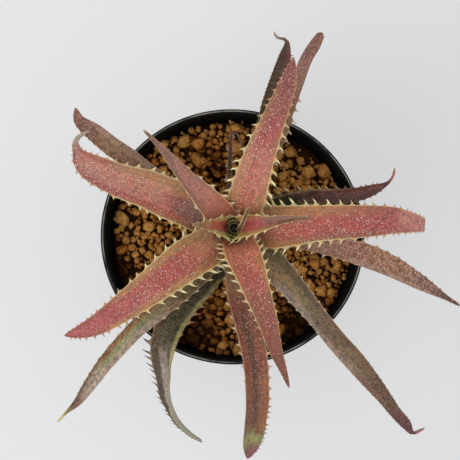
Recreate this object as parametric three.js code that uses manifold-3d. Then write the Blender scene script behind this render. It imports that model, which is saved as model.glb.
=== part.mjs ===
// A potted orthophytum hybrid: a spiny rosette of arching leaves on a short stem, in baked-clay
// grains, in a round black nursery pot. Millimetres, +Z up, origin at the centre of the pot's
// underside, +Y towards the side of the pot that two brown leaves and the broad red leaf point to.
import * as THREE from "three";
import { mergeVertices } from "three/addons/utils/BufferGeometryUtils.js";
import Module from "manifold-3d";

const wasm = await Module();
wasm.setup();

// Pot: outer radii and heights, and the wall that everything else is offset from.
const POT_HEIGHT = 92;
const RIM_RADIUS = 52.5;
const COLLAR_RADIUS = 51.4;
const COLLAR_FOOT = 68;
const SHOULDER_RADIUS = 48.6;
const BASE_RADIUS = 38;
const WALL = 1.1;
const LIP_DROP = 2.2;
const LIP_UNDERCUT = 0.2;
const LIP_BEVEL = 0.8;
const LIP_INNER_BEVEL = 0.6;
const BASE_BEVEL = 1;
const COLLAR_STEP = 1;
const COLLAR_RISE = 0.4;
const POT_SIDES = 48;
const DRAIN_SLOTS = 8;
const DRAIN_SLOT = { inner: 24, length: 9, width: 3 };
// A thin pot under the push of its soil is slightly out of round at the rim.
const OVAL_SHARE = 0.0165;
const OVAL_TURN = THREE.MathUtils.degToRad(-7);

// Clearance between solids that rest against each other, and between a leaf's base and the stem.
const GAP = 0.3;
const ROOT_GAP = 0.5;

// Soil: level of the bed under the grains, and the grains.
const SOIL_LEVEL = 73.6;
const GRAIN_SPACING = 7.4;
const GRAIN_RADIUS = [4.2, 5.4];
const GRAIN_PROUD = 4;
const GRAIN_TRIES = 9000;
const GRAIN_ROUGHNESS = 0.16;
const GRAIN_SQUASH = 0.25;
const RANDOM_SEED = 20417;
const RANDOM = { factor: 1664525, step: 1013904223, range: 2 ** 32 };

// Stem: a short caudex on the crown's axis, which lies a little to +Y of the pot's own.
const CROWN = new THREE.Vector2(0.6, 2.5);
const STEM_FOOT = 70;
const STEM_SHOULDER = 95;
const STEM_TOP = 105.4;
const STEM_RADIUS = 4.2;
const STEM_TIP_RADIUS = 1.3;
const STEM_SIDES = 16;
const STEM_FOOT_TAPER = { inset: 0.8, rise: 1.5 };
const STEM_TIP_RISE = 0.6;

// Leaf blades: thickness at the midrib and at the margin, and the spines on the margin.
const LEAF_COLUMNS = [-1, -0.5, 0, 0.5, 1];
const MARGIN_THICKNESS = 0.7;
const MARGIN_RISE_POWER = 1.6;
const STUB_WIDTH = 1.2;
const THREAD_WIDTH = 0.9;
// A narrow blade is no thicker than its half width and this much more.
const THICKNESS_OVER_HALF = 0.4;
const SPINE_LEAN_BASE = 0.55;
const SPINE_LEAN_TIP = 0.05;

const MERGE_DISTANCE = 1e-4;

const FINISHES = {
  pot: { color: 0x1b1b1c, roughness: 0.45 },
  clay: { color: 0xa8702f, roughness: 0.95 },
  bark: { color: 0x8b7a4f, roughness: 0.8 },
  rose: { color: 0xb0605c, roughness: 0.6 },
  crimson: { color: 0xa8504e, roughness: 0.6 },
  mauve: { color: 0x8f6660, roughness: 0.6 },
  olive: { color: 0x7d6f5a, roughness: 0.6 },
  brown: { color: 0x7a5650, roughness: 0.6 },
  dark: { color: 0x4b4441, roughness: 0.6 },
};

// Each leaf: where it leaves the stem (azimuth in degrees, height, width), then the stations of its
// midrib to the tip as [x, y, height, width, roll in degrees]. "fold" is how far the margins stand
// up, as a share of the half width. "spines" gives the first and last share of the length that
// carries them, the number on each side and their length at the base and near the tip.
const LEAVES = [
  {
    node: "leaf_heart_folded", finish: "mauve", fold: 0.7, rib: [1.2, 0.7],
    root: [330, 105.7, 1.8],
    route: [[3.6, 3.2, 114.5, 1.8], [5, 6.5, 121, 1.4], [6, 9, 126, 0.9]],
    spines: { from: 0.35, to: 0.9, count: 3, length: [1.1, 0.7] },
  },
  {
    node: "leaf_inner_east", finish: "crimson", fold: 0.42, rib: [1.4, 0.7],
    root: [8, 102.6, 8.5],
    route: [[8, 3.4, 111.5, 8], [14, 4, 117.5, 4.8], [21.5, 5, 123, 2.4], [29, 5, 128, 0.9]],
    spines: { from: 0.12, to: 0.9, count: 8, length: [1.7, 0.8] },
  },
  {
    node: "leaf_inner_west", finish: "crimson", fold: 0.42, rib: [1.4, 0.7],
    root: [174, 100.6, 8.5],
    route: [[-6, 3, 109.5, 7], [-10, 3, 115, 3.2], [-15, 3, 121, 0.9]],
    spines: { from: 0.15, to: 0.9, count: 6, length: [1.5, 0.8] },
  },
  {
    node: "leaf_young_northwest", finish: "mauve", fold: 0.3, rib: [1.8, 0.7],
    root: [132, 98.6, 10.5],
    route: [
      [-8.1, 11.2, 110.3, 10.6], [-16.4, 19.6, 120, 6.8], [-21.6, 25.2, 126.5, 4.7], [-25.8, 30, 132, 2.8],
      [-29.2, 33.4, 135.5, 1.6], [-32.5, 36.5, 138, 0.9],
    ],
    spines: { from: 0.12, to: 0.94, count: 14, length: [2.4, 1] },
  },
  {
    node: "leaf_broad_south", finish: "rose", fold: 0.25, rib: [2.1, 0.8],
    root: [287, 97.3, 10.4],
    route: [
      [3.7, -7, 107.5, 13.6], [6.5, -14, 113.5, 12.4], [9, -21.5, 118, 10.4], [13, -33, 122, 7.6],
      [16, -44, 124, 5], [19, -52, 124.5, 2.6], [21, -58, 124, 0.9],
    ],
    spines: { from: 0.1, to: 0.95, count: 15, length: [2.9, 1.1] },
  },
  {
    node: "leaf_broad_north", finish: "rose", fold: 0.24, rib: [2.1, 0.8],
    root: [68, 95.8, 11],
    route: [
      [5.5, 13.5, 107, 14.4], [9.9, 28, 116, 12.4], [14.5, 40, 120, 9.6], [18.9, 51, 121, 7.6],
      [21.8, 60, 119.5, 5], [23.5, 67.5, 117, 0.9],
    ],
    spines: { from: 0.1, to: 0.95, count: 15, length: [2.9, 1.1] },
  },
  {
    node: "leaf_broad_southwest", finish: "rose", fold: 0.24, rib: [2.1, 0.8],
    root: [214, 93.8, 10.6],
    route: [
      [-6.5, -3, 100, 15], [-16.5, -9.5, 107.2, 16.4], [-24.5, -15.5, 111.5, 15],
      [-32.5, -21.7, 113.5, 13], [-42.5, -28.9, 113.7, 10.5], [-51, -34.5, 112.5, 8.2],
      [-58, -37.5, 110.5, 5.4], [-65.2, -39.4, 108, 0.9],
    ],
    spines: { from: 0.1, to: 0.95, count: 15, length: [3, 1.1] },
  },
  {
    node: "leaf_broad_east", finish: "rose", fold: 0.24, rib: [2.1, 1],
    root: [4, 93, 11.5],
    route: [
      [14, 3, 101.5, 16.4], [20.5, 3, 105.5, 16.4], [33.5, 4, 111, 14], [49, 4.5, 113.5, 12.6],
      [60.5, 5, 112.5, 10.6], [68.5, 4.5, 109.5, 8], [73.5, 4, 105.5, 5.8], [75.8, 3.5, 102, 3.8],
    ],
    spines: { from: 0.1, to: 0.93, count: 15, length: [3, 1.2] },
  },
  {
    node: "leaf_broad_west", finish: "rose", fold: 0.22, rib: [2.1, 0.9],
    root: [156, 91.2, 10.8],
    route: [
      [-11, 7.5, 97, 14.5], [-18.5, 11.5, 101.5, 16], [-25, 14, 105, 16], [-33.5, 17.5, 108.5, 15],
      [-43.5, 20.5, 111, 13], [-53.8, 25.2, 111, 10.8], [-58.9, 29.2, 109, 7.2], [-61, 32.9, 106, 3.8],
      [-62.2, 36.2, 103, 2.6], [-61.4, 38.9, 101, 2.6], [-59.6, 40.5, 100, 2.5], [-57, 41.8, 99, 2.2],
    ],
    spines: { from: 0.1, to: 0.86, count: 15, length: [3, 1.2] },
  },
  {
    node: "leaf_long_southeast", finish: "olive", fold: 0.26, rib: [2, 0.8],
    root: [312, 89.7, 9.4],
    route: [
      [11.5, -6.5, 95, 10.6], [18.5, -14.5, 99.5, 11], [25, -22, 102.5, 9.6], [33, -32, 104.5, 8],
      [40, -40.7, 104, 8], [48, -49.6, 101, 8.2], [55.7, -58.6, 96.5, 6.9], [61, -65, 92.5, 5.6],
      [65.5, -70.7, 88.5, 4.7], [70.4, -76, 84.5, 4.2], [73.8, -80.2, 81.5, 1.5], [78.6, -78.2, 82, 0.9],
    ],
    spines: { from: 0.09, to: 0.84, count: 16, length: [2.3, 1] },
  },
  {
    node: "leaf_narrow_northeast", finish: "brown", fold: 0.3, rib: [1.8, 0.9],
    root: [64, 88.8, 8],
    route: [
      [10, 22, 98, 6.6], [18, 39, 104.5, 6.2], [21.2, 48.6, 106, 5.8], [25, 58.7, 106, 5.4],
      [29, 69, 104.5, 4.8], [32.7, 75.4, 102.5, 4.6], [35.8, 81.2, 99.5, 2.8],
    ],
    spines: { from: 0.2, to: 0.95, count: 13, length: [1.8, 0.9] },
  },
  {
    node: "leaf_long_southwest", finish: "olive", fold: 0.45, rib: [1.8, 0.8],
    root: [230, 87.4, 8],
    route: [
      [-8, -10.5, 92.5, 7.6], [-19, -21, 97.8, 8], [-28.5, -29.5, 100.2, 7.2], [-36.5, -36, 99.8, 7.2],
      [-44.2, -43.8, 96.5, 6.8], [-52.1, -52.8, 90.5, 6.2], [-58.6, -61.3, 83, 5], [-64.2, -68.2, 76, 3.2],
      [-69.5, -73, 71, 1.2], [-74, -77.5, 66, 0.9],
    ],
    spines: { from: 0.12, to: 0.82, count: 14, length: [1.9, 0.6] },
  },
  {
    node: "leaf_long_east", finish: "brown", fold: 0.26, rib: [1.8, 0.8],
    root: [344, 86.5, 7.6],
    route: [
      [12, 0.4, 90.2, 7.4], [27, -2, 96, 6.6], [38.5, -4.3, 99.3, 7.6], [50, -7.3, 101, 9.3],
      [62, -12, 100, 8.6], [73.5, -18, 96.5, 6.4], [81.8, -22.5, 93, 3.6], [86.8, -25.2, 90.5, 2],
      [92.3, -28.1, 88, 1.1],
    ],
    spines: { from: 0.12, to: 0.88, count: 14, length: [2, 0.9] },
  },
  {
    node: "leaf_lower_northwest", finish: "brown", fold: 0.26, rib: [1.8, 0.8],
    root: [144, 85, 8.2],
    route: [
      [-13, 13.5, 89.5, 8.2], [-27.9, 20.8, 94.5, 8.3], [-34, 24.8, 96, 8.2], [-41.4, 30.8, 97, 8],
      [-48.5, 35.8, 96.7, 7.7], [-55.2, 41.3, 95, 7.2], [-61.6, 46.4, 93, 4.7], [-64, 52.3, 91, 1.1],
    ],
    spines: { from: 0.15, to: 0.92, count: 12, length: [1.8, 0.9] },
  },
  {
    node: "leaf_hanging_south", finish: "brown", fold: 0.34, rib: [2, 0.9],
    root: [278, 84.4, 7.6],
    route: [
      [1.6, -10.5, 89, 9], [2.4, -21.5, 93.5, 9.6], [5.2, -33, 96.3, 9.8], [7.9, -43.5, 97.2, 9.8],
      [9.3, -53.5, 96, 9.6], [9.9, -65.5, 87.5, 9.4], [9.3, -76.5, 76.5, 8.8], [8.1, -86, 66, 7.6],
      [6.6, -94, 58.5, 1.6],
    ],
    spines: { from: 0.12, to: 0.95, count: 14, length: [1.8, 0.9] },
  },
  {
    node: "leaf_dark_east", finish: "dark", fold: 0.55, rib: [1.4, 0.8],
    root: [34, 83.2, 5.4],
    route: [
      [9.6, 8.4, 87, 5], [17.5, 13, 90.8, 5.2], [27, 15.4, 94.8, 5.4], [38.5, 15.8, 98, 5.6],
      [47.5, 15.9, 100.5, 5.6], [55, 17.7, 102, 4.4], [61, 20.3, 103, 1.4], [63.5, 23.5, 103, 0.9],
      [64, 26.5, 102.5, 0.9],
    ],
    spines: { from: 0.15, to: 0.8, count: 12, length: [1.8, 0.9] },
  },
  {
    node: "leaf_dark_north", finish: "dark", fold: 0.26, rib: [1.7, 0.8],
    root: [80, 80.2, 6.2],
    route: [
      [4.5, 15, 85, 6.8], [8, 28, 91, 6.6], [12.4, 42.5, 95.7, 6.2], [14.8, 52.5, 96.3, 6.2],
      [18.2, 63, 94.5, 6], [21.3, 73, 91.5, 4.8], [22.2, 80.2, 89, 1.5], [18.5, 82, 88, 0.9],
      [17, 84.5, 87.3, 0.9],
    ],
    spines: { from: 0.2, to: 0.82, count: 12, length: [1.5, 0.8] },
  },
  {
    node: "leaf_hanging_southwest", finish: "dark", fold: 0.5, rib: [1.9, 0.9],
    root: [241, 80, 6.4],
    route: [
      [-4.5, -10.5, 84.8, 8], [-11, -19.5, 90, 9.6], [-19, -28, 93.4, 10.6],
      [-24.8, -37.6, 96.2, 11, 8], [-26.8, -46.2, 96, 11, 26], [-26.9, -54.4, 88, 10.6, 42],
      [-27.2, -62.2, 78, 9.2, 50], [-26.3, -70.4, 68, 7.8, 50], [-23.2, -78.1, 60, 6.2, 45],
      [-18.6, -84, 53, 4, 40], [-13.2, -88.7, 47, 1, 40],
    ],
    spines: { from: 0.25, to: 0.95, count: 14, length: [1.9, 1] },
  },
  {
    node: "leaf_small_north", finish: "brown", fold: 0.3, rib: [1, 0.7],
    root: [99, 83.2, 2],
    route: [
      [-1.6, 13, 84.4, 2], [-1.4, 21.5, 87.5, 2], [-1, 30.5, 90.5, 1.8], [-0.8, 36, 91.5, 1.5],
      [-0.2, 41.5, 91.5, 1.3], [2, 42, 90, 1.2], [3.6, 39, 88, 1.1], [4.5, 36, 86, 0.9],
    ],
    spines: { from: 0.35, to: 0.75, count: 3, length: [1.3, 0.9] },
  },
];

// A small generator with a fixed seed, so that the grains fall alike on every build.
function seededRandom(seed) {
  let state = seed;
  return () => {
    state = (state * RANDOM.factor + RANDOM.step) % RANDOM.range;
    return state / RANDOM.range;
  };
}

function toSolid(geometry) {
  const bare = geometry.clone();
  bare.deleteAttribute("normal");
  bare.deleteAttribute("uv");
  const merged = mergeVertices(bare, MERGE_DISTANCE);
  const mesh = new wasm.Mesh({
    numProp: 3,
    vertProperties: new Float32Array(merged.attributes.position.array),
    triVerts: new Uint32Array(merged.index.array),
  });
  return new wasm.Manifold(mesh);
}

function toGeometry(solid) {
  const mesh = solid.getMesh();
  const geometry = new THREE.BufferGeometry();
  geometry.setAttribute("position", new THREE.BufferAttribute(mesh.vertProperties, 3));
  geometry.setIndex(new THREE.BufferAttribute(mesh.triVerts, 1));
  geometry.computeVertexNormals();
  return geometry;
}

// Turns a closed profile of [radius, height] points about the vertical axis.
function turned(profile, sides) {
  const points = profile.map(([radius, height]) => new THREE.Vector2(radius, height));
  return new THREE.LatheGeometry(points, sides).rotateX(Math.PI / 2);
}

// Widens the pot along one diameter and narrows it along the other, in proportion to height.
function squeezeOutOfRound(geometry) {
  const position = geometry.attributes.position;
  const point = new THREE.Vector3();
  const axis = new THREE.Vector3(0, 0, 1);
  for (let i = 0; i < position.count; i += 1) {
    point.fromBufferAttribute(position, i).applyAxisAngle(axis, -OVAL_TURN);
    const share = (OVAL_SHARE * point.z) / POT_HEIGHT;
    point.x *= 1 + share;
    point.y *= 1 - share;
    point.applyAxisAngle(axis, OVAL_TURN);
    position.setXYZ(i, point.x, point.y, point.z);
  }
  geometry.computeVertexNormals();
  return geometry;
}

// The pot's wall from the floor up, inside. The soil follows it at the clearance.
function innerWall(clearance) {
  return [
    [BASE_RADIUS - WALL - clearance, WALL + clearance],
    [SHOULDER_RADIUS - WALL - clearance, COLLAR_FOOT - COLLAR_STEP],
    [COLLAR_RADIUS - COLLAR_STEP - WALL - clearance, COLLAR_FOOT + COLLAR_STEP],
    [COLLAR_RADIUS - WALL - clearance, POT_HEIGHT - LIP_DROP],
  ];
}

function potGeometry() {
  const lipInner = COLLAR_RADIUS - WALL;
  const profile = [
    [0, 0],
    [BASE_RADIUS - BASE_BEVEL, 0],
    [BASE_RADIUS, BASE_BEVEL],
    [SHOULDER_RADIUS, COLLAR_FOOT - COLLAR_STEP],
    [COLLAR_RADIUS - COLLAR_STEP, COLLAR_FOOT + COLLAR_RISE],
    [COLLAR_RADIUS, POT_HEIGHT - LIP_DROP],
    [RIM_RADIUS, POT_HEIGHT - LIP_DROP + LIP_UNDERCUT],
    [RIM_RADIUS, POT_HEIGHT - LIP_BEVEL],
    [RIM_RADIUS - LIP_BEVEL, POT_HEIGHT],
    [lipInner + LIP_INNER_BEVEL, POT_HEIGHT],
    [lipInner, POT_HEIGHT - LIP_INNER_BEVEL],
    ...innerWall(0).reverse(),
    [0, WALL],
  ];
  let solid = toSolid(turned(profile, POT_SIDES));
  const slot = new THREE.BoxGeometry(DRAIN_SLOT.length, DRAIN_SLOT.width, WALL * 4);
  slot.translate(DRAIN_SLOT.inner + DRAIN_SLOT.length / 2, 0, 0);
  for (let i = 0; i < DRAIN_SLOTS; i += 1) {
    const placed = slot.clone().rotateZ(((i + 0.5) * 2 * Math.PI) / DRAIN_SLOTS);
    solid = solid.subtract(toSolid(placed));
  }
  return squeezeOutOfRound(toGeometry(solid));
}

function stemRadiusAt(height) {
  const share = THREE.MathUtils.clamp((height - STEM_SHOULDER) / (STEM_TOP - STEM_SHOULDER), 0, 1);
  return THREE.MathUtils.lerp(STEM_RADIUS, STEM_TIP_RADIUS, share);
}

function stemGeometry(clearance) {
  const foot = STEM_FOOT - clearance;
  const top = STEM_TOP + clearance;
  const profile = [
    [0, foot],
    [STEM_RADIUS - STEM_FOOT_TAPER.inset + clearance, foot],
    [STEM_RADIUS + clearance, foot + STEM_FOOT_TAPER.rise],
    [STEM_RADIUS + clearance, STEM_SHOULDER],
    [STEM_TIP_RADIUS + clearance, top - STEM_TIP_RISE],
    [0, top],
  ];
  return turned(profile, STEM_SIDES).translate(CROWN.x, CROWN.y, 0);
}

// A lump of baked clay: a twenty-sided ball with its corners moved in and out, squashed and turned.
function grainGeometry(radius, random) {
  const bare = new THREE.IcosahedronGeometry(1, 0);
  bare.deleteAttribute("normal");
  bare.deleteAttribute("uv");
  const lump = mergeVertices(bare, MERGE_DISTANCE);
  const position = lump.attributes.position;
  for (let i = 0; i < position.count; i += 1) {
    const reach = radius * (1 + GRAIN_ROUGHNESS * (2 * random() - 1));
    position.setXYZ(i, position.getX(i) * reach, position.getY(i) * reach, position.getZ(i) * reach);
  }
  lump.scale(1 + GRAIN_SQUASH * random(), 1, 1 - GRAIN_SQUASH * random());
  lump.rotateX(random() * Math.PI).rotateY(random() * Math.PI).rotateZ(random() * Math.PI);
  return lump;
}

// Grains are dropped at random spots that keep their distance from those already there.
function grainSpots(random) {
  const reach = COLLAR_RADIUS - WALL - COLLAR_STEP;
  const spots = [];
  for (let i = 0; i < GRAIN_TRIES; i += 1) {
    const angle = random() * 2 * Math.PI;
    const radius = Math.sqrt(random()) * reach;
    const spot = new THREE.Vector2(radius * Math.cos(angle), radius * Math.sin(angle));
    if (spots.every((other) => other.distanceTo(spot) > GRAIN_SPACING)) {
      spots.push(spot);
    }
  }
  return spots;
}

function soilGeometry() {
  const random = seededRandom(RANDOM_SEED);
  const wall = innerWall(GAP);
  const space = toSolid(turned([[0, wall[0][1]], ...wall, [0, POT_HEIGHT]], POT_SIDES));
  const bed = [[0, wall[0][1]], wall[0], wall[1], wall[2], [wall[3][0], SOIL_LEVEL], [0, SOIL_LEVEL]];
  let solid = toSolid(turned(bed, POT_SIDES));
  for (const spot of grainSpots(random)) {
    const radius = THREE.MathUtils.lerp(GRAIN_RADIUS[0], GRAIN_RADIUS[1], random() ** 2);
    const lump = grainGeometry(radius, random);
    lump.translate(spot.x, spot.y, SOIL_LEVEL + GRAIN_PROUD - radius);
    solid = solid.add(toSolid(lump));
  }
  solid = solid.intersect(space).subtract(toSolid(stemGeometry(GAP)));
  return squeezeOutOfRound(toGeometry(solid));
}

// The midrib's stations as a smooth curve, with width and roll carried along it.
function midribOf(leaf) {
  const [azimuth, height, width] = leaf.root;
  const angle = THREE.MathUtils.degToRad(azimuth);
  const radius = stemRadiusAt(height) + ROOT_GAP;
  const start = [CROWN.x + radius * Math.cos(angle), CROWN.y + radius * Math.sin(angle), height, width];
  const stations = [start, ...leaf.route];
  const places = stations.map(([x, y, z]) => new THREE.Vector3(x, y, z));
  const sizes = stations.map(([, , , wide, roll = 0]) => new THREE.Vector3(wide, roll, 0));
  return {
    line: new THREE.CatmullRomCurve3(places, false, "catmullrom", 0.5),
    size: new THREE.CatmullRomCurve3(sizes, false, "catmullrom", 0.5),
  };
}

// Shares of the length where the blade has a row of points. Between the first and last spine every
// stretch carries one spine, in turn on the left and on the right margin.
function rowShares({ from, to, count }) {
  const shares = [0, from / 2];
  const stretches = 2 * count;
  for (let i = 0; i <= stretches; i += 1) {
    shares.push(from + ((to - from) * i) / stretches);
  }
  shares.push((to + 1) / 2, 1);
  return shares;
}

// A row of the blade: a frame carried along the midrib without twisting, plus the leaf's own roll.
function bladeRows(leaf, shares) {
  const { line, size } = midribOf(leaf);
  const rows = [];
  let side = null;
  for (const share of shares) {
    const along = line.getUtoTmapping(share);
    const tangent = line.getTangent(along);
    side = side ?? new THREE.Vector3(0, 0, 1).cross(tangent);
    side = side.clone().addScaledVector(tangent, -side.dot(tangent)).normalize();
    const [wide, roll] = size.getPoint(along).toArray();
    const across = side.clone().applyAxisAngle(tangent, THREE.MathUtils.degToRad(roll));
    const up = tangent.clone().cross(across);
    const half = Math.max(wide, THREE.MathUtils.lerp(STUB_WIDTH, THREAD_WIDTH, share)) / 2;
    rows.push({ share, centre: line.getPoint(along), tangent, across, up, half });
  }
  return rows;
}

function bladeGeometry(leaf) {
  const { spines, fold, rib } = leaf;
  const rows = bladeRows(leaf, rowShares(spines));
  const columns = LEAF_COLUMNS.length;
  const points = [];
  for (const { share, centre, across, up, half } of rows) {
    const ribThickness = THREE.MathUtils.lerp(rib[0], rib[1], share);
    const middle = Math.min(ribThickness, THICKNESS_OVER_HALF + half);
    for (const level of [0, 1]) {
      for (const v of LEAF_COLUMNS) {
        const thickness = THREE.MathUtils.lerp(middle, Math.min(middle, MARGIN_THICKNESS), v * v);
        const lift = fold * half * Math.abs(v) ** MARGIN_RISE_POWER - level * thickness;
        points.push(centre.clone().addScaledVector(across, v * half).addScaledVector(up, lift));
      }
    }
  }
  const top = (row, column) => row * 2 * columns + column;
  const under = (row, column) => top(row, column) + columns;
  const faces = [];
  const quad = (a, b, c, d) => faces.push([a, b, c], [a, c, d]);
  const spineOn = (corners, apex) => {
    points.push(apex);
    const tip = points.length - 1;
    corners.forEach((corner, i) => faces.push([corner, corners[(i + 1) % 4], tip]));
  };
  const last = columns - 1;
  for (let row = 0; row + 1 < rows.length; row += 1) {
    for (let j = 0; j < last; j += 1) {
      quad(top(row, j), top(row + 1, j), top(row + 1, j + 1), top(row, j + 1));
      faces.push([under(row, j), under(row + 1, j + 1), under(row + 1, j)]);
      faces.push([under(row, j), under(row, j + 1), under(row + 1, j + 1)]);
    }
    const left = [top(row, last), top(row + 1, last), under(row + 1, last), under(row, last)];
    const right = [top(row, 0), under(row, 0), under(row + 1, 0), top(row + 1, 0)];
    const inSpines = row >= 2 && row < 2 + 2 * spines.count;
    const spineIsLeft = row % 2 === 0;
    for (const [corners, sign] of [[left, 1], [right, -1]]) {
      if (inSpines && spineIsLeft === sign > 0) {
        spineOn(corners, spineApex(leaf, rows[row], corners.map((i) => points[i]), sign));
      } else {
        quad(...corners);
      }
    }
  }
  const end = rows.length - 1;
  for (let j = 0; j < last; j += 1) {
    quad(top(0, j), top(0, j + 1), under(0, j + 1), under(0, j));
    quad(top(end, j), under(end, j), under(end, j + 1), top(end, j + 1));
  }
  const geometry = new THREE.BufferGeometry();
  geometry.setAttribute("position", new THREE.Float32BufferAttribute(points.flatMap((p) => p.toArray()), 3));
  geometry.setIndex(faces.flat());
  geometry.computeVertexNormals();
  return geometry;
}

// A spine stands out along the rising margin and leans back towards the stem, less so near the tip.
function spineApex({ spines, fold }, { share, tangent, across, up }, corners, sign) {
  const middle = corners.reduce((sum, p) => sum.add(p), new THREE.Vector3()).divideScalar(4);
  const length = THREE.MathUtils.lerp(spines.length[0], spines.length[1], share);
  const lean = THREE.MathUtils.lerp(SPINE_LEAN_BASE, SPINE_LEAN_TIP, share);
  const direction = across.clone().multiplyScalar(sign).addScaledVector(up, fold);
  direction.normalize().addScaledVector(tangent, -lean).normalize();
  return middle.addScaledVector(direction, length);
}

function addPiece(group, node, geometry, finish) {
  const material = new THREE.MeshStandardMaterial({ ...FINISHES[finish], metalness: 0 });
  const mesh = new THREE.Mesh(geometry, material);
  mesh.name = node;
  group.add(mesh);
}

const plant = new THREE.Group();
addPiece(plant, "pot", potGeometry(), "pot");
addPiece(plant, "soil", soilGeometry(), "clay");
addPiece(plant, "stem", stemGeometry(0), "bark");
for (const leaf of LEAVES) {
  addPiece(plant, leaf.node, bladeGeometry(leaf), leaf.finish);
}

export default plant;
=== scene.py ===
"""A potted orthophytum hybrid, dressed for rendering over the fixed frame."""
import itertools
import math

import bpy
import numpy as np
from bpy.props import FloatProperty, FloatVectorProperty, IntProperty, PointerProperty
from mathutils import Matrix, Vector


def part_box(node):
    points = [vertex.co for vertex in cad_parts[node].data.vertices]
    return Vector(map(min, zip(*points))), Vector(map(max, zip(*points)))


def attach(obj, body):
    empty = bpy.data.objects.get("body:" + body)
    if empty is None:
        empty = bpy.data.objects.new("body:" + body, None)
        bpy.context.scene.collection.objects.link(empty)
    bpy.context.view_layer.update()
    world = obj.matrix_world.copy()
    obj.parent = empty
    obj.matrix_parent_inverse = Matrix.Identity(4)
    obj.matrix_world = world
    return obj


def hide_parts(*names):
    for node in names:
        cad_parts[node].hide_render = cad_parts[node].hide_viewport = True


bl_info = {
    "name": "Potted Orthophytum",
    "version": (1, 0, 0),
    "blender": (4, 5, 0),
    "location": "View3D > Sidebar > Plant",
    "description": "Dresses the packed plant with fine leaves, spines, clay grains and a moulded pot",
    "category": "Add Mesh",
}

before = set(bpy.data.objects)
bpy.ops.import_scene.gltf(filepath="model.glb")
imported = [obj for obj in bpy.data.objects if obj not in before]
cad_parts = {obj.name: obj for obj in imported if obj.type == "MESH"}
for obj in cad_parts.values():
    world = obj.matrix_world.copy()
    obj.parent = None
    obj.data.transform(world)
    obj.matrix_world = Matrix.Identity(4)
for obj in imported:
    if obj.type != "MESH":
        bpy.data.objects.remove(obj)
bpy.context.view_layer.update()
POT_LOW, POT_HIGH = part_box("pot")

MM = 0.001
BODY = "root"

# The crown's axis, and the stem that the leaves are set round, in millimetres.
CROWN = (0.6, 2.5)
STEM_SHOULDER = 95
STEM_TOP = 105.4
STEM_RADIUS = 4.2
STEM_TIP_RADIUS = 1.3
ROOT_GAP = 0.5


def tint(code):
    """Linear colour of a six-figure code, whose pairs are shares of 255 on the display curve."""
    shares = [int(code[i:i + 2], 16) / 255 for i in (0, 2, 4)]
    return tuple(s / 12.92 if s <= 0.04045 else ((s + 0.055) / 1.055) ** 2.4 for s in shares)


# Finishes of the leaves. "heart" and "flank" are the colours of the middle stripe and of what lies beside
# it, with the shares of length where they are reached. "dots" is how strong the pale scurf dots are at
# the base and at the tip, "veins" how strong its fine veins are, and "scales" how strongly single scales
# are lighter or darker. The spines are "claw" near the base and "far_claw" beyond the middle.
FINISHES = {
    "rose": {
        "slot": "leaf_rose", "dots": (1, 0.8), "veins": 0.0, "scales": 0.15,
        "heart": [(0.1, "a0583f"), (0.3, "b05646"), (0.6, "a24742"), (0.92, "96494c")],
        "flank": [(0.1, "a06c3a"), (0.35, "ae7244"), (0.65, "a05c48"), (0.95, "965452")],
        "margin": "d0be85", "claw": "efe1ab", "far_claw": "b98372", "scurf": "f6cebb", "under": "9a8670",
    },
    # The crimson heart's bright base is partly the leaves' own colour and partly painted light against the
    # shade in the crown.
    "crimson": {
        "slot": "leaf_crimson", "dots": (0.15, 0.15), "veins": 0.0, "scales": 0.0,
        "heart": [(0.05, "d06a60"), (0.25, "b85a54"), (0.5, "8c5546"), (0.8, "7e5a42"), (0.95, "94705a")],
        "flank": [(0.05, "c4b860"), (0.3, "ac8a52"), (0.6, "8c6248"), (0.95, "a08672")],
        "margin": "d8c988", "claw": "eddfae", "far_claw": "d8b49c", "scurf": "e0a894", "under": "8f8a5e",
    },
    "mauve": {
        "slot": "leaf_mauve", "dots": (1, 0.4), "veins": 0.0, "scales": 0.1,
        "heart": [(0.08, "bc6e58"), (0.3, "a8685a"), (0.55, "966450"), (0.9, "84644f")],
        "flank": [(0.08, "b8704f"), (0.3, "a26c56"), (0.6, "90694f"), (0.95, "8c7058")],
        "margin": "cfb48c", "claw": "eadcae", "far_claw": "c99a84", "scurf": "daac94", "under": "857560",
    },
    "olive": {
        "slot": "leaf_olive", "dots": (0.4, 0.3), "veins": 0.3, "scales": 1.1,
        "heart": [(0.1, "786640"), (0.4, "6e5a40"), (0.7, "64503c"), (0.92, "563534")],
        "flank": [(0.1, "86744a"), (0.4, "785e46"), (0.7, "6a5140"), (0.92, "5a3b36")],
        "margin": "b49c7c", "claw": "e2cda0", "far_claw": "86604e", "scurf": "b59a82", "under": "98897a",
    },
    "brown": {
        "slot": "leaf_brown", "dots": (0.9, 0.7), "veins": 0.2, "scales": 0.5,
        "heart": [(0.1, "805032"), (0.4, "825034"), (0.7, "83573a"), (0.93, "70443c")],
        "flank": [(0.1, "8c5f40"), (0.4, "8a5b3d"), (0.7, "895e41"), (0.93, "734941")],
        "margin": "b89a7c", "claw": "e2cda0", "far_claw": "8a5e4e", "scurf": "d2ac94", "under": "8f8069",
    },
    # The dark finish is partly these leaves' own dark colour and partly painted shade, with the base near
    # black.
    "dark": {
        "slot": "leaf_dark", "dots": (0.2, 0.4), "veins": 0.3, "scales": 0.8,
        "heart": [(0.15, "241f0f"), (0.4, "352b1e"), (0.7, "483530"), (0.95, "523532")],
        "flank": [(0.15, "352c16"), (0.4, "463925"), (0.7, "533d34"), (0.95, "5e3f38")],
        "margin": "8f7a58", "claw": "e4d2a2", "far_claw": "6e4638", "scurf": "a08a74", "under": "7f7b55",
    },
}

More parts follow.
